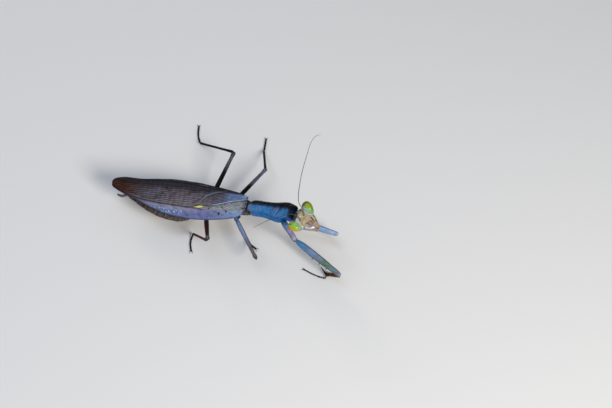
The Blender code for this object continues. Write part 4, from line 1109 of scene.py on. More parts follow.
# Strokes of paint on the face: l and m of both ends, half width, strength, name of the colour.
faceColours = {
    "cream": (192, 198, 174), "rose": (182, 124, 140), "plum": (112, 82, 104), "brick": (92, 46, 20),
    "moss": (56, 50, 10), "olive": (118, 108, 56), "gold": (172, 152, 70), "green": (74, 116, 58),
    "frost": (184, 202, 230), "highlightWhite": (232, 242, 250), "skyBlue": (32, 108, 198), "slate": (52, 56, 50),
    "magenta": (164, 60, 116),
}
faceStrokes = [
    # mantis's left cheek and mouth
    (1.97, 2.37, 1.93, 2.84, 0.15, 0.75, "cream"), (1.93, 2.84, 1.76, 3.25, 0.14, 0.75, "cream"),
    (1.76, 3.25, 1.36, 3.78, 0.12, 0.50, "cream"), (1.54, 2.30, 1.49, 2.56, 0.21, 0.85, "moss"),
    (1.29, 2.94, 1.20, 3.22, 0.21, 0.85, "brick"), (0.95, 2.58, 0.95, 2.84, 0.24, 0.75, "rose"),
    (0.60, 3.04, 0.74, 2.90, 0.22, 0.75, "brick"), (0.68, 3.56, 0.68, 3.82, 0.20, 0.55, "olive"),
    (-0.12, 3.75, 0.14, 3.75, 0.23, 0.55, "rose"), (0.14, 4.22, 0.14, 4.40, 0.22, 0.50, "plum"),
    # right cheek; the line of frost and white strokes down its edge to the lip is a painted highlight
    (-0.59, 2.10, -0.38, 2.42, 0.14, 0.80, "brick"), (-0.38, 2.42, -0.37, 3.25, 0.14, 0.65, "brick"),
    (-0.98, 2.56, -0.88, 2.74, 0.25, 0.70, "rose"), (-0.57, 1.26, -1.46, 1.88, 0.15, 0.50, "cream"),
    (-1.74, 2.44, -1.59, 3.07, 0.20, 0.75, "frost"), (-1.59, 3.07, -1.28, 3.74, 0.20, 0.78, "frost"),
    (-1.28, 3.74, -0.74, 4.25, 0.18, 0.70, "frost"), (-0.74, 4.25, -0.32, 4.58, 0.20, 0.92, "highlightWhite"),
    (-2.40, 2.30, -1.94, 3.31, 0.14, 0.55, "plum"), (-1.94, 2.26, -1.94, 2.46, 0.18, 0.75, "green"),
    (-2.10, 1.68, -2.10, 1.92, 0.25, 0.60, "cream"),
    # brow, between the eyes
    (-1.36, -0.92, -1.08, -0.36, 0.26, 0.60, "frost"), (-1.80, -0.30, -1.62, 0.20, 0.20, 0.45, "frost"),
    (-0.92, 0.05, -0.68, 0.14, 0.30, 0.65, "gold"), (0.95, 1.02, 1.10, 1.20, 0.28, 0.45, "rose"),
    (1.48, -0.18, 1.66, -0.06, 0.26, 0.55, "cream"), (1.42, -0.90, 1.60, -0.74, 0.26, 0.50, "plum"),
    (-0.30, -0.54, -0.10, -0.54, 0.24, 0.55, "frost"), (0.00, -1.38, 0.24, -1.28, 0.22, 0.60, "cream"),
    (0.48, -1.24, 0.64, -1.08, 0.21, 0.70, "olive"), (1.50, -1.30, 1.34, -1.48, 0.22, 0.70, "slate"),
    # crown
    (0.40, -2.10, 0.70, -1.98, 0.26, 0.90, "skyBlue"), (0.82, -1.80, 0.96, -1.68, 0.21, 0.65, "green"),
    (-0.55, -1.31, -0.45, -1.60, 0.25, 0.78, "moss"), (-0.30, -1.95, 0.00, -1.92, 0.26, 0.80, "slate"),
    (-1.30, -1.55, -1.55, -1.25, 0.20, 0.50, "slate"),
    # lip
    (-0.04, 4.96, -0.04, 5.10, 0.22, 0.65, "brick"), (0.31, 5.22, 0.31, 5.36, 0.21, 0.75, "gold"),
    (-0.35, 5.45, -0.25, 5.60, 0.24, 0.85, "magenta"), (0.21, 5.72, 0.21, 5.82, 0.18, 0.80, "moss")]


# The head is one skin from the crown over the clypeus and labrum: superellipse rings down the face,
# with features raised along n as bumps and grooves of l and m. A stroke's mask falls with the distance
# to its segment.
def makeHead():
    v = headShape
    m = np.concatenate([np.linspace(-2.22, 4.6, 190), np.linspace(4.63, 5.95, 46)])
    half, out, back = readTable(v["plan"], m).T
    front = rise(-0.05, 0.35, np.sin(turns(v["around"])))[None, :]
    rings = superRings(face(0.0, m, 0.0), headLeft, headFront, half, out, back, v["around"], v["power"])
    l, mm = (rings - headCentre) @ headLeft, m[:, None]
    a = np.abs(l)
    slow, fast, fine = ripple(rings, 1.5, 101), ripple(rings, 0.6, 102), ripple(rings, 0.3, 103)
    socketL, socketM = v["sockets"]
    orbitL, orbitM, orbitHalf, orbitLong = v["orbits"]
    dome = sum(np.clip(1 - ((l - ol) ** 2 + (mm - om) ** 2) / r ** 2, 0, 1) ** 0.5
               for ol, om, r in v["ocelli"])
    fields = {"l": l, "m": mm, "a": a, "slow": slow, "fast": fast, "fine": fine, "front": front,
              "behind": 1 - front,
              "bowed": mm - 0.10 * a ** 2, "cupped": mm + 0.10 * a ** 2, "cheek": a + 0.10 * (mm - 1.8),
              "socket": np.hypot(a - socketL, mm - socketM), "dome": dome, "crownLine": mm + 0.22 * l,
              "orbit": np.hypot((a - orbitL) / orbitHalf, (mm - orbitM) / orbitLong)}
    relief = v["ocelliHeight"] * dome
    for name, (height, *parts) in v["features"].items():
        fields[name] = sum(product(1.0, part, fields) for part in parts)
        relief = relief + height * fields[name]
    fields["seams"] = fields["seam"] + fields["cheekSeam"]
    relief = relief * front + v["fastHeight"] * fast + v["fineHeight"] * fine
    away = unit(rings - face(0.0, m, 0.0)[:, None])
    rings = rings + (0.8 * headFront + 0.35 * away) * relief[..., None]

    tone = coated(plain(v["skin"], rings), v["ground"], v, fields)
    for startL, startM, endL, endM, wide, strength, colour in faceStrokes:
        runL, runM = endL - startL, endM - startM
        along = np.clip(((l - startL) * runL + (mm - startM) * runM) / max(runL ** 2 + runM ** 2, 1e-6), 0, 1)
        near = np.hypot(l - startL - along * runL, mm - startM - along * runM) + 0.06 * fast + 0.03 * fine
        mask = v["strokeStrength"] * strength * front * rise(wide * v["strokeOuter"], wide * v["strokeInner"],
                                                             near)
        tone = layered(tone, (mask, faceColours[colour]))
    tone = coated(tone, v["lines"], v, fields)
    ringPiece("headSkin", rings, tone, looks["faceShell"], ["head", "mouthparts"])


eyeShape = {
    "size": (1.40, 2.12, 1.55), "offset": 3.42, "middle": 0.10, "depth": -0.10, "egg": 0.36, "leanIn": 0.30,
    "bow": 0.25, "thinning": 0.1, "rows": 110, "around": 140, "poleGap": 0.02, "stripes": 2.6,
    "backDark": (40, 34, 6), "pupil": (10, 10, 4),
    # outer runs from -1 at the face to 1 at the far side, down from -1 at the crown to 1
    "coats": [(0.80, "inner", ("outerFast", 0.20, -0.60)), (0.80, "face", "faceward"),
              (0.80, "low", ("downFast", 0.30, 0.70), ("outer", 0.75, 0.30)),
              (0.85, "outer", ("outerSlow", 0.25, 0.70)), (0.85, "lowOuter", ("lowCorner", 0.35, 0.85)),
              (0.85, "crown", ("crownLine", -0.55, -0.85)), (0.30, "outer", ("slow", 0.2, 0.9)),
              # the back of each eye is darkened: painted shade
              (0.12, "pupil", "stripes"), (0.75, "backDark", ("out", -0.05, -0.45))],
    # the pupil spot: l, m, radius
    "left": {"base": (134, 158, 22), "inner": (128, 182, 128), "face": (150, 194, 216), "low": (72, 170, 94),
             # the left eye's dark crown is painted shade along its top rim
             "outer": (122, 118, 0), "crown": (58, 20, 0), "lowOuter": (88, 124, 54),
             "bronze": (150, 128, 74),
             "faceReach": (-0.08, -0.92), "spot": (3.05, -0.75, 0.10),
             "own": [(0.55, "bronze", ("outer", "at", -0.05, 0.25), ("down", "at", -0.60, 0.16))]},
    "right": {"base": (138, 182, 62), "inner": (122, 174, 88), "face": (140, 176, 136),
              "low": (106, 160, 130),
              "outer": (186, 150, 10), "crown": (190, 162, 66), "lowOuter": (204, 138, 26),
              "lavender": (190, 198, 222), "faceReach": (-0.40, -0.85), "spot": (-3.5, -1.46, 0.16),
              "own": [(0.65, "lavender", ("down", 0.25, 0.75), ("outer", -0.15, -0.65))]},
}


# An eye is an egg: half sizes along l, m and n, narrowing down the face by egg, leaned outwards.
# Its colour runs from teal at the face over green to an olive or orange rim, with faint stripes.
def makeEye(sideName, sign):
    v = eyeShape
    turn = turns(v["around"])[None, :]
    down = np.linspace(v["poleGap"], np.pi - v["poleGap"], v["rows"])[:, None]
    m = -np.cos(down) + 0 * turn
    x, n = np.sin(down) * np.cos(turn), np.sin(down) * np.sin(turn)
    sx, sm, sn = v["size"]
    nx = n * sn * (1 - v["thinning"] * m)
    l = sign * v["offset"] + x * sx * (1 - v["egg"] * m) - sign * (v["leanIn"] * m + v["bow"] * m ** 2)
    mm = v["middle"] + m * sm
    rings = face(l, mm, v["depth"] + nx)
    outer = x * sign
    slow, fast = ripple(rings, 1.4, 111 + sign), ripple(rings, 0.5, 113 + sign)
    stripe = 0.5 + 0.5 * np.cos(2 * np.pi * (np.arctan2(nx, outer + 1.4) * v["stripes"] + 0.12 * slow))
    paint = v[sideName]
    fields = {"outer": outer, "down": m, "out": n, "slow": slow, "stripes": stripe ** 3,
              "outerFast": outer + 0.15 * fast, "outerSlow": outer + 0.10 * slow, "downFast": m + 0.15 * fast,
              "faceward": rise(*paint["faceReach"], outer + 0.06 * fast), "lowCorner": 0.75 * outer + 0.5 * m,
              "crownLine": m - 0.15 * outer}
    tone = coated(plain(paint["base"], rings), v["coats"] + paint["own"], {**v, **paint}, fields)
    spotL, spotM, radius = paint["spot"]
    near = np.hypot(l - spotL, mm - spotM)
    tone = layered(tone, (0.9 * rise(radius * 1.5, radius * 0.7, near) * rise(0, 0.2, n), v["pupil"]))
    ringPiece(f"eye_{sideName}_ball", rings, tone, looks["eyeGlass"], [f"eye_{sideName}"])


palpShape = {
    # distance to the side, down the face, out of the face
    "line": [(0.9, 4.4, -0.9), (0.95, 4.85, -1.25), (0.9, 5.4, -1.25), (0.7, 5.9, -0.95), (0.45, 6.2, -0.55)],
    "widths": [(0, 0.2, 0.2), (0.5, 0.26, 0.25), (1, 0.22, 0.22)], "pinch": 0.28, "pinchWidth": 0.10,
    "joints": 4,
    "colours": [(0, 120, 104, 80), (0.5, 150, 124, 92), (0.8, 168, 96, 110), (1, 200, 170, 90)],
}


# Palps: short joints, pinched between.
def makePalps():
    v = palpShape
    pinch = lambda run, t, length: -v["pinch"] * bell(np.mod(run / length * v["joints"] + 0.5, 1), 0.5,
                                                      v["pinchWidth"])
    for sideName, sign in (("left", 1), ("right", -1)):
        path = [face(sign * aside, m, n) for aside, m, n in v["line"]]
        limbPiece(f"palp_{sideName}_skin", path, v["widths"], v["colours"], looks["faceShell"],
                  [f"palp_{sideName}"], rows=70, around=20, relief=pinch, seed=120 + sign)


neckShape = {
    "widths": [(0, 0.9, 0.9), (0.5, 0.98, 0.92), (1, 0.85, 0.8)], "foldHeight": 0.05, "foldStep": 0.42,
    "colours": [(0, 38, 34, 36), (0.5, 74, 60, 56), (1, 40, 36, 34)],
}


# The neck: a wrinkled collar from inside the shield to inside the back of the head.
def makeNeck():
    v = neckShape
    path = [pro(17.0, 0.0, -2.0), pro(18.0, 0.0, -2.1), face(0.0, 0.1, -2.2), face(0.0, 0.5, -0.9)]
    fold = lambda run, t, length: v["foldHeight"] * np.cos(2 * np.pi * run / v["foldStep"])
    limbPiece("neckSkin", path, v["widths"], v["colours"], looks["bellyShell"], ["neck"], rows=110,
              around=48, relief=fold, seed=131)


feelerShape = {
    "left": [(17.2, -8.85, 24.0), (17.05, -8.6, 24.55), (16.45, -7.95, 25.35), (15.1, -6.8, 26.3),
             (14.4, -4.1, 27.35), (14.25, -1.8, 28.35), (14.15, 0.75, 29.45), (14.25, 3.1, 30.45),
             (14.6, 7.15, 32.1), (15.1, 10.65, 33.7), (16.0, 12.35, 34.4), (17.3, 13.1, 34.55)],
    "right": [(16.5, -10.1, 23.0), (16.4, -10.2, 23.45), (15.9, -10.3, 24.2), (14.55, -9.95, 24.55),
              (12.65, -9.5, 23.65), (10.0, -9.7, 21.35), (7.3, -9.65, 19.2), (5.15, -10.0, 17.05),
              (3.0, -10.35, 15.0)],
    "radius": [(0, 0.22), (0.025, 0.23), (0.04, 0.14), (0.06, 0.16), (0.075, 0.11), (0.3, 0.095),
               (0.7, 0.075), (1, 0.045)],
    "ringStep": 0.42, "rowsPerRing": 6, "swell": 0.16, "waist": 0.1,
    "colours": [(0, 140, 124, 90), (0.05, 128, 108, 80), (0.12, 104, 80, 62), (0.3, 84, 48, 34),
                (1, 92, 40, 24)],
}


# A feeler: a scape, a pedicel and a whip of short rings, its radius swelling a little in each ring.
def makeFeelers():
    v = feelerShape
    widths = [(share, r, r) for share, r in v["radius"]]
    rings = lambda run, t, total: v["swell"] * np.abs(np.sin(np.pi * run / v["ringStep"])) - v["waist"]
    for sideName in ("left", "right"):
        length = np.linalg.norm(np.diff(v[sideName], axis=0), axis=1).sum()
        limbPiece(f"antenna_{sideName}_whip", v[sideName], widths, v["colours"], looks["feelerShell"],
                  [f"antenna_{sideName}"], reference=(0.3, -0.6, 0.8), around=12, relief=rings,
                  free=True, rows=int(length / v["ringStep"] * v["rowsPerRing"]), under=0.8, seed=140)


makeHead()
makeEye("left", 1)
makeEye("right", -1)
makePalps()
makeNeck()
makeFeelers()
print("head made")


# Walking legs.

legShape = {
    # hip, knee, ankle, toe
    "mid_left": [(-4.9, 4.1, 6.3), (2.0, 18.2, 6.6), (-0.3, 29.3, 0.85), (-0.6, 34.9, 0.27)],
    "mid_right": [(-3.3, -2.45, 6.85), (5.3, -16.1, 8.3), (1.7, -5.8, 0.85), (4.3, -7.4, 0.27)],
    "hind_left": [(-12.25, 3.2, 5.7), (-8.4, 18.75, 11.0), (-20.5, 27.8, 0.85), (-22.3, 34.8, 0.27)],
    "hind_right": [(-12.25, -3.2, 5.7), (-9.25, -17.2, 14.55), (-15.2, -6.9, 0.85), (-14.5, -12.8, 0.27)],
    "coxaRoot": {"mid": (-2.7, 1.0, 6.9), "hind": (-9.6, 1.15, 6.15)},
    "bend": {"hind_right": (-0.6, 0.3, 0.0), "hind_left": (-0.4, -0.1, 0.0)},
    "femurRadius": {"mid": 0.72, "hind": 0.74}, "tibiaRadius": 0.42,
    # how far the tibia's hinge lies beyond the knee and to the side that it folds to
    "hingeAhead": 0.22, "hingeAside": 0.45,
    # share of length, half width, half height: in mm, then in radii of the femur and of the tibia
    "coxa": [(0, 0.55, 0.60), (0.12, 0.82, 0.85), (0.35, 0.96, 0.96), (0.75, 0.84, 0.82), (0.93, 0.76, 0.76),
             (1, 0.62, 0.62)],
    "coxaColours": [(0, 52, 42, 46), (0.6, 60, 50, 56), (0.9, 44, 34, 36), (1, 30, 24, 26)],
    "femurHead": [(0, 0.52, 0.52), (0.03, 0.66, 0.66), (0.055, 0.60, 0.60), (0.07, 0.50, 0.52)],
    "femur": [(0.09, 0.74, 0.8), (0.3, 0.92, 1.04), (0.6, 0.80, 0.92), (0.88, 0.66, 0.76), (0.95, 0.84, 0.96),
              (1, 0.60, 0.66)],
    "tibiaHead": [(0, 0.30, 0.30), (0.03, 0.36, 0.38)],
    "tibia": [(0.07, 1, 1.05), (0.2, 0.82, 0.9), (0.6, 0.76, 0.80), (0.92, 0.80, 0.84), (1, 0.92, 0.92)],
    # spurs at the ankle: back from it, aside, then length along and outwards
    "spur": (0.35, 0.26, 0.75, 0.28),
    # hairs of the femur and the tibia: count, length, lean, seed, and how far from the axis in radii
    "femurHairs": (150, 0.20, 1.0, 166, 0.86), "tibiaHairs": (170, 0.24, 1.1, 167, 0.78),
}
# Colours along each part: share, red, green, blue.
legColours = {
    # the near-black root of each left femur is painted shadow of the body and wings
    "mid_left": {"femur": [(0, 12, 10, 10), (0.42, 13, 11, 12), (0.55, 74, 78, 88), (0.8, 84, 86, 108),
                           (0.93, 92, 96, 112), (1, 48, 50, 58)],
                 "tibia": [(0, 34, 35, 40), (0.1, 8, 8, 10), (0.5, 14, 16, 22), (1, 8, 8, 10)],
                 "tarsus": [(0, 8, 8, 10), (0.5, 16, 20, 24), (1, 8, 7, 8)]},
    "hind_left": {"femur": [(0, 11, 9, 9), (0.55, 12, 10, 11), (0.68, 66, 66, 66), (0.85, 80, 90, 94),
                            (0.94, 64, 72, 76), (1, 30, 32, 36)],
                  "tibia": [(0, 16, 16, 18), (0.15, 7, 7, 9), (0.5, 12, 15, 20), (1, 8, 8, 10)],
                  "tarsus": [(0, 9, 8, 9), (0.5, 18, 18, 22), (1, 10, 8, 8)]},
    "mid_right": {"femur": [(0, 72, 122, 186), (0.2, 120, 146, 186), (0.42, 118, 134, 166),
                            (0.6, 104, 114, 140), (0.8, 110, 98, 112), (0.93, 112, 100, 100),
                            (1, 78, 74, 74)],
                  "tibia": [(0, 76, 72, 70), (0.15, 62, 54, 50), (0.6, 48, 36, 32), (1, 30, 20, 18)],
                  "tarsus": [(0, 30, 20, 18), (0.5, 48, 34, 30), (1, 20, 14, 14)]},
    "hind_right": {"femur": [(0, 48, 46, 60), (0.12, 42, 22, 24), (0.3, 46, 12, 4), (0.7, 58, 16, 2),
                             (0.88, 72, 30, 14), (0.93, 98, 106, 102), (1, 80, 90, 90)],
                   "tibia": [(0, 64, 46, 40), (0.1, 92, 30, 6), (0.6, 106, 28, 2), (1, 56, 14, 4)],
                   "tarsus": [(0, 34, 12, 8), (0.4, 26, 30, 28), (0.7, 36, 26, 22), (1, 16, 11, 10)]},
}
tarsusShape = {
    "joints": [0.0, 0.38, 0.56, 0.71, 0.83, 1.0],
    # radius along each joint
    "joint": [(0.0, 0.15), (0.12, 0.22), (0.6, 0.25), (0.85, 0.31), (0.95, 0.29), (1.0, 0.16)],
    "landing": 0.34, "rows": 170, "around": 24, "padAt": 0.86, "padWidth": 0.12, "padDepth": 0.22,
    "teal": (60, 96, 98), "jointDark": (14, 10, 10),
    # teal glints on the top of each foot are painted reflection
    "coats": [(0.5, "teal", ("fast", 0.3, 0.9), ("side", 0, 0.8)), (0.7, "jointDark", ("part", 0.90, 1.0))],
    # claws: aside and above at the root, length, spread, drop of the tip, bow
    "claw": (0.13, 0.06, 1.0, 0.45, -0.24, 0.12),
    "hairStep": 16, "hairSeed": 152,
}
hairRadius = 0.030  # mm
hairRoots, hairTips, hairSizes, hairPlaces = [], [], [], []
clawRoots, clawTips, clawBends = [], [], []
spineRoots, spineTips, spineSizes = [], [], []


# A hooked claw to be made later: from root to tip, its middle lifted by bow.
def addClaw(root, tip, bow):
    clawRoots.append(root), clawTips.append(tip), clawBends.append(np.array([0, 0, bow]))


# A straight spine to be made later: from root to tip, with its radius at the root.
def addSpine(root, tip, radius):
    spineRoots.append(root), spineTips.append(tip), spineSizes.append(radius)


# Unit vectors along a segment, towards the side the next one folds to, across both, and along the next.
def limbFrame(start, knee, far):
    a, b = unit(np.subtract(knee, start)), unit(np.subtract(far, knee))
    v = unit(b - a * (b @ a))
    return a, v, np.cross(a, v), b


# Hairs stand off a limb's surface, leaning towards its end; their roots follow a golden-angle spiral.
def addHairs(start, end, radius, count, length=0.30, lean=0.75, seed=5):
    dice = np.random.default_rng(seed)
    start, end = np.asarray(start, float), np.asarray(end, float)
    along = unit(end - start)
    side = unit(np.cross(along, (0.31, 0.22, 0.93)))
    other = np.cross(along, side)
    k = np.arange(count)
    share = (k + dice.uniform(0, 1, count)) / count
    turn = k * 2.39996 + dice.uniform(-0.3, 0.3, count)
    out = side * np.cos(turn)[:, None] + other * np.sin(turn)[:, None]
    root = start + (end - start) * share[:, None] + out * radius * 0.92
    tip = root + unit(out + along * lean) * (length * dice.uniform(0.6, 1.2, count))[:, None]
    keep = tip[:, 2] > 0.05
    hairRoots.append(root[keep])
    hairTips.append(tip[keep])
    hairSizes.append(np.full(keep.sum(), hairRadius))
    hairPlaces.append(np.column_stack([np.mod(turn / (2 * np.pi), 1), share])[keep] * (0.95, 1))


# A foot: five joints that widen towards their ends, the first sloping from the ankle to the floor and
# the rest lying flat, each with a pad below, and two hooked claws.
def makeTarsus(limb, ankle, toe, bend, colours, thin=1.0):
    v = tarsusShape
    ankle, toe, bend = (np.asarray(p, float) for p in (ankle, toe, bend))
    ahead = unit((toe - ankle) * (1, 1, 0))
    share = np.linspace(0, 1, v["rows"])
    line = ankle + (toe - ankle) * share[:, None] + bend * np.sin(np.pi * share)[:, None]
    sink = np.clip(share / v["landing"], 0, 1)
    line[:, 2] = ankle[2] * (1 - sink) + toe[2] * sink
    stops = np.array(v["joints"])
    joint = np.clip(np.searchsorted(stops, share, side="right") - 1, 0, 4)
    part = (share - stops[joint]) / (stops[joint + 1] - stops[joint])
    radius = thin * readTable(v["joint"], part)[:, 0] * roundedEnds(share, 0.02, 0.03)
    side = np.sin(turns(v["around"]))[None, :]
    across = np.cross((0, 0, 1), ahead)
    pad = bell(part, v["padAt"], v["padWidth"])[:, None] * rise(-0.3, -0.9, side) * v["padDepth"]
    rings = superRings(line, across, np.array([0, 0, 1.0]), radius, radius * 0.9, radius * 0.95, v["around"],
                       swell=pad)
    rings[..., 2] = np.maximum(rings[..., 2], 0.0)
    fast = ripple(rings, 0.7, 151)
    tone = linear(readTable(colours, share))[:, None, :] * (1 + 0.3 * fast)[..., None]
    tone = coated(tone, v["coats"], v, {"fast": fast, "side": side, "part": part[:, None]})
    ringPiece(f"tarsus_{limb}_foot", rings, tone, looks["legShell"], [f"tarsus_{limb}"])
    aside, above, long, spread, drop, bow = v["claw"]
    for way in (1, -1):
        root = line[-4] + across * way * aside + np.array([0, 0, above])
        outwards = unit(ahead + across * way * spread)
        tip = root + outwards * long * min(1.0, thin + 0.1) + np.array([0, 0, drop])
        addClaw(root, tip, bow)
    step = v["hairStep"]
    for k in range(4, 164, step):
        addHairs(line[k], line[k + step] if k < 148 else line[-4], 0.23 * thin, 6, 0.24, 0.9,
                 v["hairSeed"] + k)


# A walking leg: coxa, femur, tibia and foot, each starting inside the one before; the hinge of the tibia
# lies beyond the knee, and its widths and the femur's are radii times the tables.
def makeWalkingLeg(name):
    shape, paint, look = legShape, legColours[name], looks["legShell"]
    kind = name.split("_")[0]
    hip, knee, ankle, toe = (np.array(p) for p in shape[name])
    root = np.array(shape["coxaRoot"][kind])
    root[1] *= np.sign(hip[1])
    a, v, w, b = limbFrame(hip, knee, ankle)
    ridge = lambda run, t, length: 0.03 * np.cos(4 * t) + 0.015 * np.cos(2 * np.pi * run / 1.9)
    limbPiece(f"coxa_{name}_shell", [root, root + (hip - root) * 0.5, hip + (hip - root) * 0.02],
              shape["coxa"], shape["coxaColours"], look, [f"coxa_{name}"], reference=v, rows=60,
              around=40, relief=ridge, seed=161)

    r = shape["femurRadius"][kind]
    widths = shape["femurHead"] + [(share, wide * r, high * r) for share, wide, high in shape["femur"]]
    notch = lambda run, t, length: 0.30 * rise(0.955, 0.99, run / length) * bell(np.sin(t), 1, 0.5)
    lobe = lambda run, t, length: 0.03 * np.cos(6 * t) - notch(run, t, length)
    limbPiece(f"femur_{name}_shell", [hip - a * 0.35, hip + (knee - hip) * 0.5, knee + a * 0.30], widths,
              paint["femur"], look, [f"femur_{name}"], reference=v, rows=130, around=40, relief=lobe,
              seed=163, keelShade=0.72)

    hinge = knee + a * shape["hingeAhead"] + v * shape["hingeAside"]
    rt = shape["tibiaRadius"]
    widths = shape["tibiaHead"] + [(share, wide * rt, high * rt) for share, wide, high in shape["tibia"]]
    end = ankle + (hinge - ankle) * 0.012
    limbPiece(f"tibia_{name}_shell", [hinge - b * 0.1, hinge + (end - hinge) * 0.5, end], widths,
              paint["tibia"], look, [f"tibia_{name}"], reference=v, rows=120, around=32, seed=165,
              relief=lambda run, t, length: 0.05 * np.cos(4 * t + 0.4))
    back, aside, long, spread = shape["spur"]
    for way in (1, -1):
        spur = end - b * back + w * way * aside
        addClaw(spur, spur + b * long + w * way * spread, 0)
    for start, stop, radius, key in ((hip + a, knee, r, "femurHairs"),
                                     (hinge + b * 0.4, end, rt, "tibiaHairs")):
        count, long, lean, seed, off = shape[key]
        addHairs(start, stop, radius * off, count, long, lean, seed)
    makeTarsus(name, end, toe, shape["bend"].get(name, (0, 0, 0)), paint["tarsus"])


for legName in ("mid_left", "mid_right", "hind_left", "hind_right"):
    makeWalkingLeg(legName)
print("walking legs made")


# Raptorial legs.

armShape = {
    # shoulder, trochanter, knee, wrist, toe, claw tip from the wrist, start of the foot on the floor
    "right": [(11.5, -7.75, 16.95), (15.4, -5.3, 5.9), (30.5, -15.5, 7.0), (26.6, -12.2, 0.95),
              (19.7, -11.4, 0.27), (-2.0, 2.2, 0.35), (26.7, -13.3, 0.45)],
    "left": [(13.5, -2.75, 16.95), (10.0, 2.1, 6.2), (27.45, -0.58, 6.34), (23.5, 3.82, 0.95),
             (16.85, 5.28, 0.27), (-2.4, 0.9, 0.3), (23.7, 4.9, 0.45)],
    # share of length, half height, half width
    "femur": [(0.0, 0.50, 0.46), (0.02, 0.68, 0.60), (0.05, 0.85, 0.72), (0.18, 1.16, 0.92),
              (0.38, 1.27, 1.00), (0.58, 1.18, 0.94), (0.78, 0.98, 0.82), (0.92, 0.82, 0.74),
              (0.98, 0.70, 0.66), (1.0, 0.48, 0.48)],
    "coxa": [(0, 0.60, 0.60), (0.08, 0.86, 0.86), (0.3, 0.92, 0.95), (0.6, 0.78, 0.82), (0.82, 0.80, 0.82),
             (0.92, 0.84, 0.84), (1, 0.62, 0.62)],
    "trochanter": [(0, 0.58, 0.58), (0.4, 0.72, 0.74), (1, 0.60, 0.62)],
    # the tibia's shaft by share of the shaft, then its claw by share of the claw
    "shaft": [(0, 0.36, 0.36), (0.4, 0.47, 0.52), (0.8, 0.42, 0.47), (0.96, 0.40, 0.42)],
    "shaftHead": (0.06, 0.50, 0.52),
    "hook": [(0.35, 0.25, 0.27), (0.75, 0.14, 0.15), (1, 0.05, 0.05)], "hookColour": (26, 14, 12),
    "toothHeight": 0.07, "toothStep": 0.55, "groove": 0.20, "grooveWidth": 0.30, "keelHeight": 0.05,
    "keelWidth": 0.16,
    # spines of the femur by row: first share, last share, count; the tibia's: count, size
    "outerSpines": (0.40, 0.86, 4), "innerSpines": (0.34, 0.90, 14), "discoidals": (0.20, 0.33, 4),
    "tibiaSpines": (0.28, 0.95), "tibiaInner": (14, 1.0), "tibiaOuter": (10, 0.9),
    # hairs: how far from the axis, count, length, lean, seed
    "femurHairs": (0.80, 100, 0.16, 1.0, 186), "coxaHairs": (0.80, 60, 0.15, 1.0, 187),
    "footBend": {"right": (0, -0.3, 0), "left": (0, 0.2, 0)}, "footThin": 0.72,
    "footColours": [(0, 30, 34, 22), (0.5, 26, 44, 24), (1, 14, 16, 12)],
    "wrist": [(0, 0.24, 0.24), (0.5, 0.20, 0.20), (1, 0.20, 0.20)],
    "wristColours": [(0, 50, 44, 26), (1, 28, 40, 24)],
    "violet": (122, 112, 146), "slate": (44, 56, 82), "sky": (70, 150, 200), "underside": (58, 50, 62),
    "edge": (9, 8, 12),
    "coats": [(0.40, "violet", ("slow", 0.1, 0.9)), (0.25, "slate", ("fast", -0.3, -0.9)),
              # the darker underside is painted shade
              (0.30, "sky", ("fast", 0.5, 0.95)), (0.65, "underside", ("side", -0.25, -0.8)),
              # near-black edges along the sides seen edge-on: partly dark keels, partly painted shade
              (0.90, "edge", "brows", ("share", 0.98, 0.85))],
}
armColours = {
    "right": {"coxa": [(0, 84, 136, 184), (0.16, 96, 136, 178), (0.32, 146, 112, 156), (0.5, 126, 136, 190),
                       (0.7, 138, 118, 148), (0.86, 158, 170, 190), (1, 166, 180, 198)],
              "trochanter": [(0, 132, 128, 150), (1, 98, 118, 150)],
              "femur": [(0, 84, 118, 154), (0.15, 82, 142, 190), (0.4, 124, 146, 178), (0.55, 116, 134, 144),
                        (0.7, 98, 118, 98), (0.82, 104, 132, 130), (0.93, 110, 114, 124), (1, 132, 138, 138)],
              "tibia": [(0, 96, 88, 84), (0.12, 118, 74, 22), (0.4, 126, 62, 8), (0.6, 118, 82, 16),
                        (0.85, 92, 54, 12), (1, 44, 24, 10)]},
    # the left coxa and trochanter are darker than the right's: painted shade
    "left": {"coxa": [(0, 34, 40, 52), (0.5, 50, 62, 88), (1, 46, 58, 84)],
             "trochanter": [(0, 48, 58, 80), (1, 60, 80, 112)],
             "femur": [(0, 18, 84, 146), (0.18, 60, 116, 178), (0.35, 124, 168, 222), (0.7, 134, 164, 208),
                       (0.9, 152, 176, 206), (1, 168, 184, 198)],
             "tibia": [(0, 60, 54, 52), (0.12, 70, 46, 24), (0.6, 60, 38, 14), (1, 26, 15, 11)]},
}


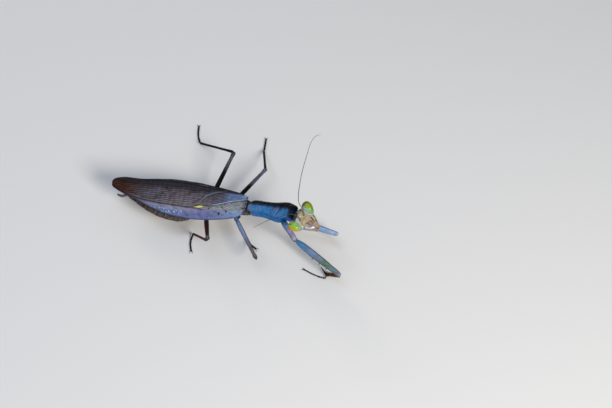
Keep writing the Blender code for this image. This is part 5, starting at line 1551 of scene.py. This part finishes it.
# The deep, spined femur of a foreleg: a spindle whose underside is grooved between two edges, with the
# spines on them. The sides that lie square to both the limb and the way the face looks, where it turns from
# view, get a dark edge: partly dark keels, partly painted shade.
def makeArmFemur(sideName, start, end, a, fold, w, inner, look):
    v = armShape
    shares = np.concatenate([[0.001], crowded(150)[1:-1], [0.999]])
    high, wide = readTable(v["femur"], shares).T
    taper = roundedEnds(shares, 0.035, 0.035)
    t = turns(96)[None, :]
    line = start + (end - start) * shares[:, None]
    inGroove = (rise(0.12, 0.3, shares) * rise(1.05, 0.9, shares))[:, None]
    swell = v["keelHeight"] * bell(np.cos(t), 0, v["keelWidth"]) * rise(0, 0.6, np.sin(t)) \
        - v["groove"] * bell(np.cos(t), 0, v["grooveWidth"]) * rise(0.2, -0.5, np.sin(t)) * inGroove
    rings = superRings(line, w, -fold, wide * taper, high * taper, high * 0.96 * taper, 96, 2.1, 0.0, swell)
    slow, fast = ripple(rings, 2.4, 181), ripple(rings, 0.8, 182)
    rings = rings + 0.018 * (slow + fast)[..., None] * unit(rings - line[:, None])
    acrossView = unit(rings - line[:, None]) @ unit(np.cross(headFront, a))
    fields = {"slow": slow, "fast": fast, "side": np.sin(t), "share": shares[:, None],
              "brows": rise(0.66, 0.84, acrossView) + 0.55 * rise(0.80, 0.92, -acrossView)}
    base = linear(readTable(armColours[sideName]["femur"], shares))[:, None, :] * np.ones((1, 96, 1))
    ringPiece(f"femur_fore_{sideName}_shell", rings, coated(base, v["coats"], v, fields), look,
              [f"femur_fore_{sideName}"])
    length = np.linalg.norm(end - start)

    # a spine's root: so far along, down by depth times the half height, out by spread times the half width
    def onFemur(share, lane, depth=0.80, spread=0.46):
        deep, broad = readTable(v["femur"], [share])[0]
        return start + a * (share * length) + fold * deep * depth + lane * broad * spread

    for share in np.linspace(*v["outerSpines"]):
        root = onFemur(share, -inner)
        addSpine(root, root + fold * 1.35 - inner * 0.30 - a * 0.25, 0.15)
    for k, share in enumerate(np.linspace(*v["innerSpines"])):
        long, radius = ((1.05, 0.12), (0.55, 0.08))[k % 2]
        root = onFemur(share, inner)
        addSpine(root, root + fold * long + inner * 0.22 * long - a * 0.1, radius)
    for k, share in enumerate(np.linspace(*v["discoidals"])):
        root = onFemur(share, inner, 0.72, 0.10 - 0.12 * (k % 2))
        addSpine(root, root + fold * (1.0 + 0.5 * (k == 2)) - a * 0.1, 0.13)


# A foreleg: a three-sided coxa with small teeth, a short trochanter, the femur, a tibia that tapers into one
# strong hooked claw with a row of spines along each inner edge, and a foot that runs back along the floor.
def makeArm(sideName):
    v = armShape
    shoulder, trochanter, knee, wrist, toe, claw, foot = (np.array(p, float) for p in v[sideName])
    claw = wrist + claw
    reach = unit(trochanter - shoulder)
    a, fold, w, b = limbFrame(trochanter, knee, wrist)
    inner = w * (1 if (w @ proLeft) * (1 if sideName == "right" else -1) > 0 else -1)
    paint = armColours[sideName]
    look = looks["legShell"]

    start, end = shoulder - reach * 0.3, trochanter - reach * 0.55
    teeth = lambda run, t: bell(np.cos(t), 1, 0.05) * np.abs(np.sin(np.pi * run / v["toothStep"]))
    edge = lambda run, t, length: 0.05 * np.cos(3 * t) + v["toothHeight"] * teeth(run, t)
    limbPiece(f"coxa_fore_{sideName}_shell", [start, start + (end - start) * 0.5, end], v["coxa"],
              paint["coxa"], look, [f"coxa_fore_{sideName}"], reference=fold, rows=130, around=56,
              relief=edge, mottle=0.2, seed=171, keelShade=0.45)
    path = [trochanter - reach * 0.75, trochanter - reach * 0.05 + a * 0.05, trochanter + a * 0.95]
    limbPiece(f"trochanter_fore_{sideName}_shell", path, v["trochanter"], paint["trochanter"], look,
              [f"trochanter_fore_{sideName}"], reference=fold, rows=50, around=40, mottle=0.25, seed=173)
    start, end = trochanter + a * 0.62, knee + a * 0.55
    makeArmFemur(sideName, start, end, a, fold, w, inner, look)

    hinge = knee + a * 0.10 + fold * 0.62
    stop = wrist + unit(hinge - wrist) * 0.2
    path = [hinge - b * 0.15, *(hinge + (stop - hinge) * s for s in (0.25, 0.5, 0.75)), stop,
            stop + (claw - stop) * 0.5, claw]
    shaft = np.linalg.norm(stop - hinge)
    bit = shaft / (shaft + np.linalg.norm(claw - stop))
    widths = [v["shaftHead"]] + [(share * bit, wide, high) for share, wide, high in v["shaft"]] \
        + [(bit + (1 - bit) * share, wide, high) for share, wide, high in v["hook"]]
    colours = [(share * bit, *colour) for share, *colour in paint["tibia"]] + [(1, *v["hookColour"])]
    limbPiece(f"tibia_fore_{sideName}_shell", path, widths, colours, look, [f"tibia_fore_{sideName}"],
              reference=fold, rows=130, around=36, ends=(0.03, 0.01), mottle=0.25, seed=185,
              relief=lambda run, t, total: 0.05 * np.cos(4 * t))
    inward = unit(-a + b * (b @ a))
    for lane, (count, long) in ((inner, v["tibiaInner"]), (-inner, v["tibiaOuter"])):
        for share in np.linspace(*v["tibiaSpines"], count):
            root = hinge + (stop - hinge) * share + inward * 0.30 + lane * 0.20
            addSpine(root, root + unit(inward + lane * 0.30 + b * 0.65) * long * (0.55 + 0.55 * share), 0.085)
    addHairs(start + a, knee, *v["femurHairs"])
    addHairs(shoulder + reach * 3, trochanter - reach, *v["coxaHairs"])

    makeTarsus(f"fore_{sideName}", foot, toe, v["footBend"][sideName], v["footColours"], v["footThin"])
    bridge = [stop - b * 0.25 + (foot - stop) * 0.05, (stop + foot) / 2 + np.array([0, 0, 0.08]),
              foot + unit(toe - foot) * 0.25]
    limbPiece(f"wrist_{sideName}_joint", bridge, v["wrist"], v["wristColours"], look,
              [f"tarsus_fore_{sideName}"], rows=30, around=18, seed=189)


makeArm("right")
makeArm("left")
print("raptorial legs made")

# radii and colours of the spines, claws and hairs; the cerci get hairs too, nearer the axis towards the tip
thornLooks = {"clawRadius": 0.11, "spineColour": (46, 24, 18), "clawColour": (34, 18, 14),
              "hairColour": (52, 44, 44)}
spikePiece("legSpines", spineRoots, spineTips, np.array(spineSizes), np.zeros((len(spineRoots), 3)),
           thornLooks["spineColour"], looks["legShell"], sides=8)
spikePiece("footClaws", clawRoots, clawTips, thornLooks["clawRadius"], clawBends, thornLooks["clawColour"],
           looks["legShell"], sides=8)
for sign in (1, -1):
    stops = smoothLine(cercusPath(sign), np.linspace(0.2, 0.96, 8))
    for k, (near, far) in enumerate(zip(stops, stops[1:])):
        addHairs(near, far, 0.33 - 0.02 * k, 6, 0.36, 0.4, 191 + k)
allRoots = np.concatenate(hairRoots)
hairs = spikePiece("legHairs", allRoots, np.concatenate(hairTips), np.concatenate(hairSizes),
                   np.zeros_like(allRoots), thornLooks["hairColour"], looks["legShell"], sides=3).data
# a second flat map: each hair is a small patch at its root's place, in a strip for each limb
strips = np.concatenate([(place + (k, 0)) / (len(hairPlaces), 1) for k, place in enumerate(hairPlaces)])
corners = np.empty(len(hairs.loops), np.int32)
hairs.loops.foreach_get("vertex_index", corners)
hair, part = np.divmod(corners, len(hairs.vertices) // len(allRoots))
patch = np.column_stack([part % 3 / 3, part // 3 / 6]) * 0.003
hairChart = (strips[hair] * 0.99 + patch).astype(np.float32)
hairs.uv_layers.new(name="OFBake").data.foreach_set("uv", hairChart.ravel())
print("spines, claws and hairs made", len(spineRoots), len(clawRoots), len(allRoots))
